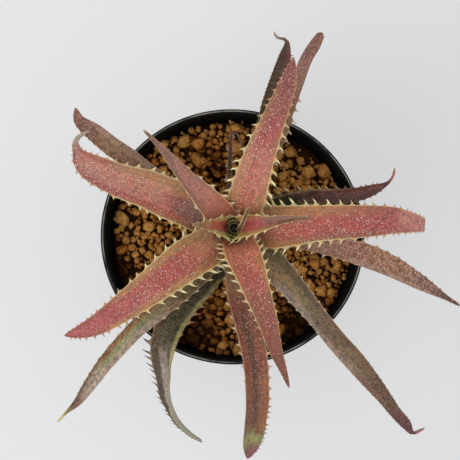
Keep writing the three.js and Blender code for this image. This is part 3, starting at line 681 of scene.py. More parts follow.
def ring_cap(first, columns, centre, turned):
    """Three-cornered faces from one ring of points to a single point."""
    column = np.arange(columns)
    after = (column + 1) % columns
    pair = [first + after, first + column] if turned else [first + column, first + after]
    return np.stack([*pair, np.full(columns, centre)], -1)


def make_mesh(name, points, face_sets):
    """A mesh from an array of points and arrays of faces, smooth all over."""
    corners = np.concatenate([faces.ravel() for faces in face_sets])
    counts = np.concatenate([np.full(len(faces), faces.shape[1]) for faces in face_sets])
    starts = np.concatenate([[0], np.cumsum(counts)[:-1]])
    mesh = bpy.data.meshes.new(name)
    mesh.vertices.add(len(points))
    mesh.vertices.foreach_set("co", np.asarray(points, np.float32).ravel())
    mesh.loops.add(len(corners))
    mesh.loops.foreach_set("vertex_index", corners.astype(np.int32))
    mesh.polygons.add(len(counts))
    mesh.polygons.foreach_set("loop_start", starts.astype(np.int32))
    mesh.update(calc_edges=True)
    mesh.validate()
    mesh.shade_smooth()
    return mesh


def mark(mesh, **values):
    """Keeps one number a point under each name, for the material to read."""
    for name, numbers in values.items():
        layer = mesh.attributes.new(name, "FLOAT", "POINT")
        layer.data.foreach_set("value", np.asarray(numbers, np.float32).ravel())


def unwrap(mesh, name, places):
    """A UV map from one place a point."""
    layer = mesh.uv_layers.new(name=name)
    corners = np.empty(len(mesh.loops), np.int32)
    mesh.loops.foreach_get("vertex_index", corners)
    layer.data.foreach_set("uv", np.asarray(places, np.float32)[corners].ravel())


def add_piece(name, mesh, material, node=None):
    """Links a mesh as a piece that rides with the plant, has a slot's finish and may stand for a node."""
    piece = bpy.data.objects.new(name, mesh)
    bpy.context.scene.collection.objects.link(piece)
    mesh.materials.append(material)
    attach(piece, BODY)
    if node:
        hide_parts(node)
    return piece


def out_of_round(points, pot):
    """Widens points along one diameter and narrows them along the other, in proportion to height."""
    turn = pot.oval_turn
    along = points[..., 0] * math.cos(turn) + points[..., 1] * math.sin(turn)
    aside = points[..., 1] * math.cos(turn) - points[..., 0] * math.sin(turn)
    share = pot.out_of_round * points[..., 2] / pot.height
    along = along * (1 + share)
    aside = aside * (1 - share)
    x = along * math.cos(turn) - aside * math.sin(turn)
    y = along * math.sin(turn) + aside * math.cos(turn)
    return np.stack([x, y, points[..., 2]], -1)


def turned_solid(profile, sides):
    """A profile of radius and height, turned about the vertical axis. Its first and last points lie on the
    axis and close the solid."""
    angle = np.linspace(0, 2 * np.pi, sides, endpoint=False)
    radius, height = np.asarray(profile[1:-1], float).T
    x = radius[:, None] * np.cos(angle)
    y = radius[:, None] * np.sin(angle)
    z = np.broadcast_to(height[:, None], x.shape)
    ends = [(0, 0, profile[0][1]), (0, 0, profile[-1][1])]
    points = np.concatenate([np.stack([x, y, z], -1).reshape(-1, 3), ends])
    count = len(radius)
    faces = grid_faces(count, sides)[:, ::-1]
    first = ring_cap(0, sides, count * sides, True)
    last = ring_cap((count - 1) * sides, sides, count * sides + 1, False)
    return points, [faces, first, last]


def rounded(centre, reach, start, end, steps):
    """Points of an arc about a centre from one angle to another, in degrees."""
    angle = np.radians(np.linspace(start, end, steps))
    return [(centre[0] + reach * math.cos(a), centre[1] + reach * math.sin(a)) for a in angle]


class PLANT_OT_pot(bpy.types.Operator):
    """Adds the round nursery pot with its rolled lip and drain slots"""

    bl_idname = "plant.pot"
    bl_label = "Nursery Pot"

    sides = 192
    lip = 1.1 * MM
    # A drain slot's reach along the radius, across it and through the floor, in millimetres.
    slot_box = ((24, 33), (-1.5, 1.5), (-2, 3))

    def profile(self, pot):
        """Underside, tapering wall, stepped collar and rolled lip outside, then the same back inside."""
        high, foot, base, wall = pot.height, pot.collar_foot, pot.base_radius, pot.wall
        collar = pot.rim_radius - self.lip
        shoulder = collar - 2.8 * MM
        inner = collar - wall
        corner = 1 * MM
        rise = np.linspace(0.03, 1, 14)[:-1]
        taper = [(base + (shoulder - base) * r, corner + (foot - 2 * corner) * r) for r in rise]
        return [
            (0, 0), (base - corner, 0), *rounded((base - corner, corner), corner, -60, 0, 4), *taper,
            (shoulder, foot - 1 * MM), (collar - 1.1 * MM, foot + 0.2 * MM),
            (collar - 1 * MM, foot + 0.8 * MM), (collar - 0.05 * MM, high - 3.2 * MM),
            (collar + 0.1 * MM, high - 2.3 * MM),
            *rounded((collar, high - self.lip), self.lip, -60, 128, 13),
            (collar - 0.8 * MM, high - 0.42 * MM), (inner + 0.12 * MM, high - 0.5 * MM),
            (inner, high - 1 * MM), (inner - 0.05 * MM, high - 2.2 * MM), (inner - 1 * MM, foot + 1 * MM),
            (inner - 1.4 * MM, foot - 0.4 * MM), (shoulder - wall, foot - 1.2 * MM),
            (base - wall, wall + corner), (base - wall - corner, wall), (0, wall),
        ]

    def cut_slots(self, piece, pot):
        """Cuts the drain slots with one joined set of boxes."""
        angle = (np.arange(pot.slots) + 0.5) * 2 * np.pi / pot.slots
        corner = np.array(list(itertools.product(*self.slot_box)), float) * MM
        x = corner[:, 0] * np.cos(angle)[:, None] - corner[:, 1] * np.sin(angle)[:, None]
        y = corner[:, 0] * np.sin(angle)[:, None] + corner[:, 1] * np.cos(angle)[:, None]
        z = np.broadcast_to(corner[:, 2], x.shape)
        box = np.array([
            (0, 1, 3, 2), (4, 6, 7, 5), (0, 4, 5, 1), (2, 3, 7, 6), (0, 2, 6, 4), (1, 5, 7, 3),
        ])
        faces = (np.arange(pot.slots)[:, None, None] * 8 + box).reshape(-1, 4)
        mesh = make_mesh("drain_slots", np.stack([x, y, z], -1).reshape(-1, 3), [faces])
        cutter = bpy.data.objects.new("drain_slots", mesh)
        bpy.context.scene.collection.objects.link(cutter)
        cut = piece.modifiers.new("slots", "BOOLEAN")
        cut.operation = "DIFFERENCE"
        cut.solver = "EXACT"
        cut.object = cutter
        bpy.context.view_layer.update()
        evaluated = piece.evaluated_get(bpy.context.evaluated_depsgraph_get())
        finished = bpy.data.meshes.new_from_object(evaluated)
        piece.modifiers.clear()
        piece.data = finished
        bpy.data.objects.remove(cutter)

    def material(self, pot):
        """Satin black plastic: fine moulded grain, scuffs as pale streaks, dust towards the soil, a painted
        highlight as a thin pale line on the lip and painted shade on the inner wall.
        """
        shader = Shader("pot_plastic")
        place = shader.place()
        height = shader.part("XYZ", place, "Z")
        grain = shader.noise(place, 2600, 2)
        cloud = shader.noise(place, 60, 4, 0.6)
        scuff = shader.noise(shader.stretched(place, (1, 1, 0.25)), 420, 3, 0.7)
        dust = shader.step(cloud + scuff * 0.35, 0.78, 1.0) * 0.35
        spread = shader.attribute("spread")
        # Painted shade: the inner wall above the soil loses its dust and takes a near-black colour.
        within = shader.step(height, 69.6 * MM, 70.2 * MM)
        within = within * (1 - shader.step(spread, pot.rim_radius - 2.2 * MM, pot.rim_radius - 2.1 * MM))
        # Painted highlight: a thin pale line round the top of the rolled lip.
        lip_highlight = 1 - shader.step(abs(spread - (pot.rim_radius - 0.9 * MM)), 0.05 * MM, 0.35 * MM)
        lip_highlight = lip_highlight * shader.step(height, 90.5 * MM, 91.2 * MM) * shader.step(cloud, 0.35, 0.6)
        marks = shader.step(scuff, 0.62, 0.78) * shader.step(cloud, 0.45, 0.6) * 0.35
        colour = shader.blend(dust, tuple(pot.plastic), tuple(pot.dust))
        colour = shader.blend(marks, colour, tint("4b4a48"))
        colour = shader.blend(lip_highlight * 0.75, colour, tint("a8a296"))
        colour = shader.blend(within * (1 - marks), colour, tint("0a0b0a"))
        roughness = 0.42 + cloud * 0.16 + dust * 0.4 + marks * 0.2 + within * 0.4
        return shader.surface(colour, roughness, grain + scuff * 0.6, 0.00008, Specular_IOR_Level=0.09)

    def execute(self, context):
        pot = context.scene.plant_pot
        points, faces = turned_solid(self.profile(pot), self.sides)
        mesh = make_mesh("pot_shell", points, faces)
        piece = add_piece("pot_shell", mesh, self.material(pot), "pot")
        self.cut_slots(piece, pot)
        shell = piece.data
        corners = np.empty(len(shell.vertices) * 3, np.float32)
        shell.vertices.foreach_get("co", corners)
        corners = corners.reshape(-1, 3).astype(float)
        mark(shell, spread=np.hypot(corners[:, 0], corners[:, 1]))
        shell.vertices.foreach_set("co", out_of_round(corners, pot).ravel())
        shell.shade_smooth()
        shell.set_sharp_from_angle(angle=math.radians(40))
        return {"FINISHED"}


def bowl(spread):
    """How much higher the filling stands at a distance from the middle than in the middle, in millimetres:
    level, then a straight rise, then level again."""
    return 4.5 * np.clip((spread - 16) / 26, 0, 1)


class PLANT_OT_soil(bpy.types.Operator):
    """Adds the bed of baked clay and the loose grains heaped on it"""

    bl_idname = "plant.soil"
    bl_label = "Clay Grains"

    # Pairs of planes that cut a grain besides the three square ones, and how sharply the planes meet.
    planes = 1
    roundness = 20.0
    # Radius that the grains fill, and the places where they stay clear of the wall: azimuth in radians,
    # width of the gap in millimetres and its length in radians.
    reach = 50.1
    hollows = ((0.92, 3.0, 0.4), (3.3, 1.6, 0.7))
    # Least and most radius of the large, middle and small grains and of the crumbs.
    radii = ((2.7, 3.5), (1.9, 2.7), (0.95, 1.8), (0.45, 0.9))
    # Highest point of a grain, and how far the loose ones stay below it in the middle.
    ceiling = 85.0
    headroom = 6
    # Spots that a loose grain tries. Those of crumb_radius and less try the first few alone.
    tries = 12
    crumb_tries = 3
    crumb_radius = 0.9
    # How high a grain's centre stands over the bed as a share of its radius, how near two grains come as a
    # share of their radii, and how high the upper one then rests as a share of where round ones would.
    seat = 0.4
    packing = 0.86
    settling = 0.75
    # Nearest and farthest that a plane lies from a grain's middle, as shares of its radius, and the least
    # and most that its three axes are stretched by.
    plane_reach = (0.66, 0.98)
    stretch = ((0.9, 0.8, 0.72), (1.2, 1.05, 0.95))
    # Number, spread of pitch and depth of the waves that roughen a grain.
    waves = 5
    wave_pitch = 4.5
    wave_depth = 0.05
    # Mean and spread of the grains' tones, their limits, and what daylight multiplies them by besides.
    tone_mean = (0.76, 0.26)
    tone_limits = (0.25, 1.15)
    tone_gain = 1.58
    # Painted shade between grains: the distance over which grains shade each other in millimetres, the light
    # on level ground, what a millimetre above the rest adds, what a millimetre of higher neighbours takes,
    # and the limits.
    shading = 3.5
    open_light = 1.24
    light_above = 0.18
    light_below = 0.25
    light_limits = (0.36, 1.3)
    # Points round the bed, its gap to the wall, the height of its waves and its tone, low as painted shade in
    # the gaps.
    bed_sides = 96
    bed_gap = 0.35 * MM
    bed_wave = 0.4 * MM
    bed_shade_tone = 0.16
    # Each piece with the radius that its grains are above, the one that they go up to, the rows from pole
    # to pole and the points round a row.
    kinds = (
        ("soil_grains_large", 2.65, 9, 11, 15),
        ("soil_grains_middle", 1.88, 2.65, 7, 10),
        ("soil_grains_small", 0.92, 1.88, 6, 8),
        ("soil_crumbs", 0, 0.92, 5, 6),
    )

    def heap(self, soil, random):
        """Drops grains one by one at the lowest of a few random spots: each comes down on the grains
        under it and sinks a little between them. In places they stay clear of the wall. The single grains
        come last and lie on top. Returns centre, radius and paleness."""
        *loose, crumb = self.radii
        counts = (soil.large, soil.middle, soil.small)
        sizes = np.concatenate([random.uniform(*span, count) for span, count in zip(loose, counts)])
        random.shuffle(sizes)
        sizes = np.concatenate([sizes, random.uniform(*crumb, soil.crumbs)])
        level = soil.level / MM
        placed = np.zeros((0, 4))
        for radius in sizes:
            turn = random.uniform(0, 2 * np.pi, self.tries)
            slack = sum(deep * np.exp(-((turn - at) / width) ** 2) for at, deep, width in self.hollows)
            spread = np.sqrt(random.uniform(0, 1, self.tries)) * (self.reach - slack - radius * 0.85)
            spots = np.stack([spread * np.cos(turn), spread * np.sin(turn)], -1)
            rest = self.landing(spots, radius, placed, level)
            best = np.argmin(rest if radius > self.crumb_radius else rest[:self.crumb_tries])
            if rest[best] + radius < self.ceiling + bowl(spread[best]) - self.headroom:
                placed = np.vstack([placed, (*spots[best], rest[best], radius)])
        tones = random.normal(*self.tone_mean, len(placed))
        placed = np.column_stack([placed, tones])
        for x, y, radius, tone in TOP_GRAINS:
            apart = np.hypot(placed[:, 0] - x, placed[:, 1] - y)
            low = apart > radius * 0.85
            low |= placed[:, 2] + placed[:, 3] < level + bowl(math.hypot(x, y)) + 4
            placed = placed[low]
            rest = self.landing(np.array([(x, y)]), radius, placed[:, :4], level)[0]
            ease = min(1, (self.reach - radius * 0.9) / math.hypot(x, y))
            rest = min(rest, self.ceiling - radius)
            placed = np.vstack([placed, (x * ease, y * ease, rest, radius, tone)])
        return placed

    def landing(self, spots, radius, placed, level):
        """Height of a grain's centre at each spot when it rests on the grains that lie there."""
        ground = level + bowl(np.hypot(*spots.T)) + radius * self.seat
        if not len(placed):
            return ground
        apart = np.linalg.norm(spots[:, None] - placed[None, :, :2], axis=-1)
        touch = (placed[:, 3] + radius) * self.packing
        rest = placed[:, 2] + np.sqrt(np.maximum(touch ** 2 - apart ** 2, 0)) * self.settling
        return np.where(apart < touch, rest, ground[:, None]).max(axis=1)

    def painted_daylight(self, heap):
        """Painted shade of each grain: how open it lies, less the lower its top is than the tops near it,
        weighted by a bell of the distance, less where higher ones stand round it, and less in the painted
        shade spots."""
        tops = heap[:, 2] + heap[:, 3]
        apart = np.hypot(heap[:, None, 0] - heap[None, :, 0], heap[:, None, 1] - heap[None, :, 1])
        weight = np.exp(-(apart / self.shading) ** 2)
        around = (weight * tops).sum(1) / weight.sum(1)
        high = (weight * np.maximum(tops - tops[:, None], 0)).sum(1) / weight.sum(1)
        painted_light = self.open_light + (tops - around) * self.light_above - high * self.light_below
        painted_light = np.clip(painted_light, *self.light_limits)
        for x, y, reach, depth in PAINTED_SHADE_SPOTS:
            apart = np.hypot(heap[:, 0] - x, heap[:, 1] - y)
            painted_light *= 1 - depth * np.exp(-(apart / reach) ** 4)
        return painted_light

    def lumps(self, grains, random, rows, columns):
        """Rounded polyhedra: each plane pulls by the power of how far a direction faces it, and the radius
        is the sum's inverse root, so the planes meet in soft edges. Sums of waves roughen the skin."""
        polar = np.linspace(0, np.pi, rows)[1:-1]
        around = np.linspace(0, 2 * np.pi, columns, endpoint=False)
        ring = np.stack([
            np.sin(polar)[:, None] * np.cos(around), np.sin(polar)[:, None] * np.sin(around),
            np.broadcast_to(np.cos(polar)[:, None], (len(polar), columns)),
        ], -1).reshape(-1, 3)
        facing = np.concatenate([ring, [(0, 0, 1), (0, 0, -1)]])
        count = len(grains)
        slanted = random.normal(size=(count, self.planes, 3))
        slanted /= np.linalg.norm(slanted, axis=-1, keepdims=True)
        square, _ = np.linalg.qr(random.normal(size=(count, 3, 3)))
        normals = np.concatenate([square, slanted], axis=1)
        sides = np.concatenate([normals, -normals], axis=1)
        reach = random.uniform(*self.plane_reach, (count, sides.shape[1]))
        pull = np.maximum(np.einsum("pi,gki->gpk", facing, sides), 0) / reach[:, None, :]
        radius = (pull ** self.roundness).sum(-1) ** (-1 / self.roundness)
        pitch = random.normal(0, self.wave_pitch, (count, self.waves, 3))
        phase = random.uniform(0, 2 * np.pi, (count, 1, self.waves))
        ripple = np.sin(np.einsum("pi,gki->gpk", facing, pitch) + phase).sum(-1)
        radius *= 1 + self.wave_depth * ripple
        stretch = random.uniform(*self.stretch, (count, 3))
        shape = facing[None] * radius[..., None] * stretch[:, None, :] * grains[:, 3, None, None]
        spin, _ = np.linalg.qr(random.normal(size=(count, 3, 3)))
        spin *= np.sign(np.linalg.det(spin))[:, None, None]
        around = np.einsum("gpi,gij->gpj", shape, spin)
        size = len(facing)
        body = grid_faces(len(polar), columns)
        top = ring_cap(0, columns, size - 2, False)
        base = ring_cap((len(polar) - 1) * columns, columns, size - 1, True)
        shift = np.arange(count)[:, None, None] * size
        sets = [(shift + faces).reshape(-1, faces.shape[1]) for faces in (body, top, base)]
        # Painted shade of each grain: lighter on top and darker towards its underside.
        painted_shading = np.clip(0.56 + 0.56 * around[..., 2] / grains[:, 3, None], 0.15, 1)
        points = (around + grains[:, None, :3]).reshape(-1, 3)
        return points, sets, painted_shading

    def material(self, soil):
        """Dry porous clay: each grain its own tone and warmth, with painted shade that darkens it towards its
        underside and where it lies low or in shade, mottled, with pits and specks."""
        shader = Shader("baked_clay")
        place = shader.place()
        tone = shader.attribute("tone")
        warmth = shader.attribute("warmth")
        mottle = shader.noise(place, 1050, 4, 0.65)
        fine = shader.noise(place, 3200, 2, 0.6)
        pits = shader.step(shader.noise(place, 1500, 3, 0.6), 0.52, 0.68)
        # The tone is each grain's own tone times its painted shade.
        shade = tone * (0.25 + mottle * 1.5)
        colour = shader.ramp(shade, [
            (0.0, tuple(soil.deep)), (0.2, tint("54371d")), (0.5, tuple(soil.warm)),
            (0.85, tuple(soil.pale)), (1.0, tint("f0b262")),
        ])
        colour = shader.blend(warmth * 0.35, colour, tint("ffc090"), "MULTIPLY")
        colour = shader.blend(pits * 0.4, colour, tint("4a2c14"))
        height = mottle * 0.7 + fine * 0.3 - pits * 0.4
        return shader.surface(colour, 0.95, height, 0.0016, Specular_IOR_Level=0.0)

    def bed(self, context, material):
        """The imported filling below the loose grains: a turned solid inside the pot's wall whose top follows
        the bowl, roughened by two sines of turn and radius together."""
        soil = context.scene.plant_soil
        pot = context.scene.plant_pot
        low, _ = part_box("soil")
        inner = pot.rim_radius - PLANT_OT_pot.lip - pot.wall - self.bed_gap
        base = pot.base_radius - pot.wall - self.bed_gap
        edge = inner - 1.1 * MM
        foot = pot.collar_foot
        surface = soil.level - 0.5 * MM
        profile = [
            (0, low.z), (base, low.z), (inner - 2.9 * MM, foot - 1 * MM), (edge, foot + 1 * MM),
            *[(edge * r, surface + bowl(edge * r / MM) * MM) for r in np.linspace(1, 0, 12)[:-1]],
            (0, surface),
        ]
        points, faces = turned_solid(profile, self.bed_sides)
        turn = np.arctan2(points[:, 1], points[:, 0])
        spread = np.hypot(points[:, 0], points[:, 1])
        ripple = np.sin(9 * turn + 400 * spread) + np.sin(17 * turn - 900 * spread)
        points[:, 2] += np.where(points[:, 2] > soil.level - 1 * MM, ripple * self.bed_wave, 0)
        mesh = make_mesh("soil_bed", out_of_round(points, pot), faces)
        mark(mesh, tone=np.full(len(points), self.bed_shade_tone), warmth=np.zeros(len(points)))
        add_piece("soil_bed", mesh, material, "soil")

    def execute(self, context):
        soil = context.scene.plant_soil
        pot = context.scene.plant_pot
        random = np.random.default_rng(soil.seed)
        material = self.material(soil)
        self.bed(context, material)
        heap = self.heap(soil, random)
        tones = np.clip(heap[:, 4], *self.tone_limits) * self.painted_daylight(heap) * self.tone_gain
        radius = heap[:, 3]
        for name, above, up_to, rows, columns in self.kinds:
            chosen = (radius > above) & (radius <= up_to)
            points, faces, painted_shading = self.lumps(heap[chosen], random, rows, columns)
            mesh = make_mesh(name, out_of_round(points * MM, pot), faces)
            warmth = np.broadcast_to(random.uniform(0, 1, len(painted_shading))[:, None] ** 1.5, painted_shading.shape)
            mark(mesh, tone=tones[chosen, None] * painted_shading, warmth=warmth)
            add_piece(name, mesh, material)
        return {"FINISHED"}


class PLANT_OT_stem(bpy.types.Operator):
    """Adds the short stem with its leaf scars, and the rolled sheaths that make the cup of the crown"""

    bl_idname = "plant.stem"
    bl_label = "Stem and Crown"

    def stem_material(self):
        """Olive-brown bark with upright fibres, and painted shade that makes it near black towards the
        crown's hole.
        """
        shader = Shader("stem_bark")
        place = shader.place()
        fibre = shader.noise(shader.stretched(place, (1, 1, 0.1)), 1800, 3, 0.6)
        cloud = shader.noise(place, 300, 3, 0.6)
        height = shader.part("XYZ", place, "Z")
        colour = shader.ramp(cloud, [(0.3, tint("3c2d18")), (0.55, tint("6b5a33")), (0.8, tint("8d8250"))])
        colour = shader.blend(shader.step(fibre, 0.55, 0.75) * 0.5, colour, tint("a58f68"))
        # Painted shade: near black at the top, in the crown's hole.
        colour = shader.blend(shader.step(height, 100 * MM, 103 * MM), colour, tint("12140a"))
        return shader.surface(colour, 0.8, fibre + cloud, 0.0004, Specular_IOR_Level=0.3)

    def sheath_material(self):
        """Sheath of a young leaf: dark olive below, partly its own colour and partly painted shade, pale
        yellow-green to its thin rim, and near black inside as painted shade.
        """
        shader = Shader("crown_sheath")
        place = shader.place()
        rise = shader.attribute("along")
        within = shader.attribute("within")
        fibre = shader.noise(shader.stretched(place, (1, 1, 0.15)), 2500, 2, 0.5)
        outside = shader.ramp(rise + (fibre - 0.5) * 0.15, [
            (0.0, tint("3a3816")), (0.5, tint("6f7032")), (0.85, tint("b2aa5c")), (1.0, tint("e2d69a")),
        ])
        # Painted shade: the inner face is near black at its foot and olive at the rim.
        inside = shader.ramp(rise, [(0.0, tint("0c0d06")), (0.55, tint("30321a")), (1.0, tint("87824a"))])
        colour = shader.blend(within, outside, inside)
        return shader.surface(colour, 0.5, fibre, 0.0002, Specular_IOR_Level=0.4)

    # Rows up a sheath and points round it, and its thickness at the foot in millimetres.
    sheath_grid = (10, 28)
    sheath_wall = 0.3
    # Height of the rim's ends as a share of the middle's, how much thinner the rim is than the foot, and
    # the power by which the wall flares.
    rim_ends = 0.55
    rim_thinning = 0.45
    flare = 1.3

    def sheath(self, low, high, radius, start, end, pale):
        """A thin wall round part of the crown: its radius grows with height, its rim stands highest in the
        middle and comes down to both ends by a half sine."""
        rows, columns = self.sheath_grid
        share = np.linspace(0, 1, columns)
        turn = np.radians(start + (end - start) * share)
        rise = np.linspace(0, 1, rows)[:, None]
        rim = low + (high - low) * (self.rim_ends + (1 - self.rim_ends) * np.sin(np.pi * share))
        height = low + (rim - low) * rise
        reach = radius[0] + (radius[1] - radius[0]) * rise ** self.flare + 0.05 * np.sin(3 * turn + high)
        skins = []
        for inset in (0, self.sheath_wall):
            thin = reach - inset * (1 - self.rim_thinning * rise)
            x = CROWN[0] + thin * np.cos(turn)
            y = CROWN[1] + thin * np.sin(turn)
            skins.append(np.stack([x, y, height], -1))
        ring = np.concatenate([skins[0], skins[1][::-1]]).transpose(1, 0, 2)
        points = ring.reshape(-1, 3) * MM
        around = 2 * rows
        middle = points.reshape(columns, around, 3)[[0, -1]].mean(axis=1)
        faces = [grid_faces(columns, around), ring_cap(0, around, columns * around, False)]
        faces.append(ring_cap((columns - 1) * around, around, columns * around + 1, True))
        along = np.append(np.tile(np.concatenate([rise, rise[::-1]]).ravel() * pale, columns), (0, 0))
        within = np.append(np.tile(np.repeat([0.0, 1.0], rows), columns), (0, 0))
        return np.concatenate([points, middle]), faces, along, within

    @staticmethod
    def profile(foot, top):
        """A straight side that bulges by a sine's size between its scars, and a tip that narrows."""
        rings = np.linspace(foot + 2, STEM_SHOULDER, 60)
        bulge = 0.12 * np.abs(np.sin((rings - foot) * 1.3)) - 0.12
        profile = [(0, foot), (STEM_RADIUS - 0.8, foot), (STEM_RADIUS - 0.1, foot + 1.5)]
        profile += [(STEM_RADIUS + b, z) for b, z in zip(bulge, rings)]
        profile += [(STEM_TIP_RADIUS, top - 0.6), (STEM_TIP_RADIUS * 0.6, top - 0.15), (0, top)]
        return profile

    def execute(self, context):
        low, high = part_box("stem")
        points, faces = turned_solid(self.profile(low.z / MM, high.z / MM), 48)
        points = (points + (*CROWN, 0)) * MM
        mesh = make_mesh("stem_core", points, faces)
        add_piece("stem_core", mesh, self.stem_material(), "stem")
        material = self.sheath_material()
        for number, sizes in enumerate(SHEATHS):
            points, faces, along, within = self.sheath(*sizes)
            name = f"crown_sheath_{number + 1}"
            mesh = make_mesh(name, points, faces)
            mark(mesh, along=along, within=within)
            add_piece(name, mesh, material)
        return {"FINISHED"}


def stem_radius(height):
    """Even up to the shoulder, then narrower in a straight line up to the top."""
    share = min(max((height - STEM_SHOULDER) / (STEM_TOP - STEM_SHOULDER), 0), 1)
    return STEM_RADIUS + (STEM_TIP_RADIUS - STEM_RADIUS) * share


def smooth_curve(stations, shares):
    """A smooth curve through stations: on each stretch the cubic between its two stations whose slope at a
    station is half the step between that station's neighbours. The ends are mirrored outward."""
    stations = np.asarray(stations, float)
    first = 2 * stations[0] - stations[1]
    last = 2 * stations[-1] - stations[-2]
    padded = np.vstack([first, stations, last])
    place = np.clip(shares, 0, 1) * (len(stations) - 1)
    index = np.minimum(place.astype(int), len(stations) - 2)
    t = (place - index)[:, None]
    before, start, end, after = (padded[index + i] for i in range(4))
    out = (end - before) / 2
    into = (after - start) / 2
    cubic = 2 * start - 2 * end + out + into
    square = -3 * start + 3 * end - 2 * out - into
    return cubic * t ** 3 + square * t ** 2 + out * t + start


class Blade:
    """The midrib of one leaf in millimetres, with the frame, width and roll at any distance along it."""

    samples = 1201

    def __init__(self, leaf):
        azimuth, height, width = leaf["root"]
        turn = math.radians(azimuth)
        radius = stem_radius(height) + ROOT_GAP
        root = (CROWN[0] + radius * math.cos(turn), CROWN[1] + radius * math.sin(turn), height, width, 0)
        stations = np.array([root] + [(*station, 0)[:5] for station in leaf["route"]], float)
        shares = np.linspace(0, 1, self.samples)
        line = smooth_curve(stations[:, :3], shares)
        steps = np.linalg.norm(np.diff(line, axis=0), axis=1)
        self.stations = stations
        self.shares = shares
        self.run = np.concatenate([[0], np.cumsum(steps)])
        self.length = self.run[-1]
        self.knots, self.sides = self.carry_frame()

    def tangent(self, at):
        """Direction from a place just behind to a place just ahead."""
        share = np.interp(at, self.run, self.shares)
        step = 1e-4
        ahead = smooth_curve(self.stations[:, :3], share + step)
        behind = smooth_curve(self.stations[:, :3], share - step)
        slope = ahead - behind
        return slope / np.linalg.norm(slope, axis=1, keepdims=True)

    def carry_frame(self):
        """Carries the sideways direction along the midrib without twisting it, a row every millimetre."""
        knots = np.linspace(0, self.length, int(self.length) + 2)
        tangents = self.tangent(knots)
        side = np.cross((0, 0, 1), tangents[0])
        sides = []
        for tangent in tangents:
            side = side - tangent * side.dot(tangent)
            side = side / np.linalg.norm(side)
            sides.append(side)
        return knots, np.array(sides)

    def rows(self, at):
        """Centre, tangent, across, up and width at each distance along."""
        share = np.interp(at, self.run, self.shares)
        centre = smooth_curve(self.stations[:, :3], share)
        width, roll = smooth_curve(self.stations[:, 3:], share).T
        tangent = self.tangent(at)
        side = np.stack([np.interp(at, self.knots, self.sides[:, i]) for i in range(3)], -1)
        side -= tangent * (side * tangent).sum(1, keepdims=True)
        side /= np.linalg.norm(side, axis=1, keepdims=True)
        angle = np.radians(roll)[:, None]
        across = side * np.cos(angle) + np.cross(tangent, side) * np.sin(angle)
        return centre, tangent, across, np.cross(tangent, across), width


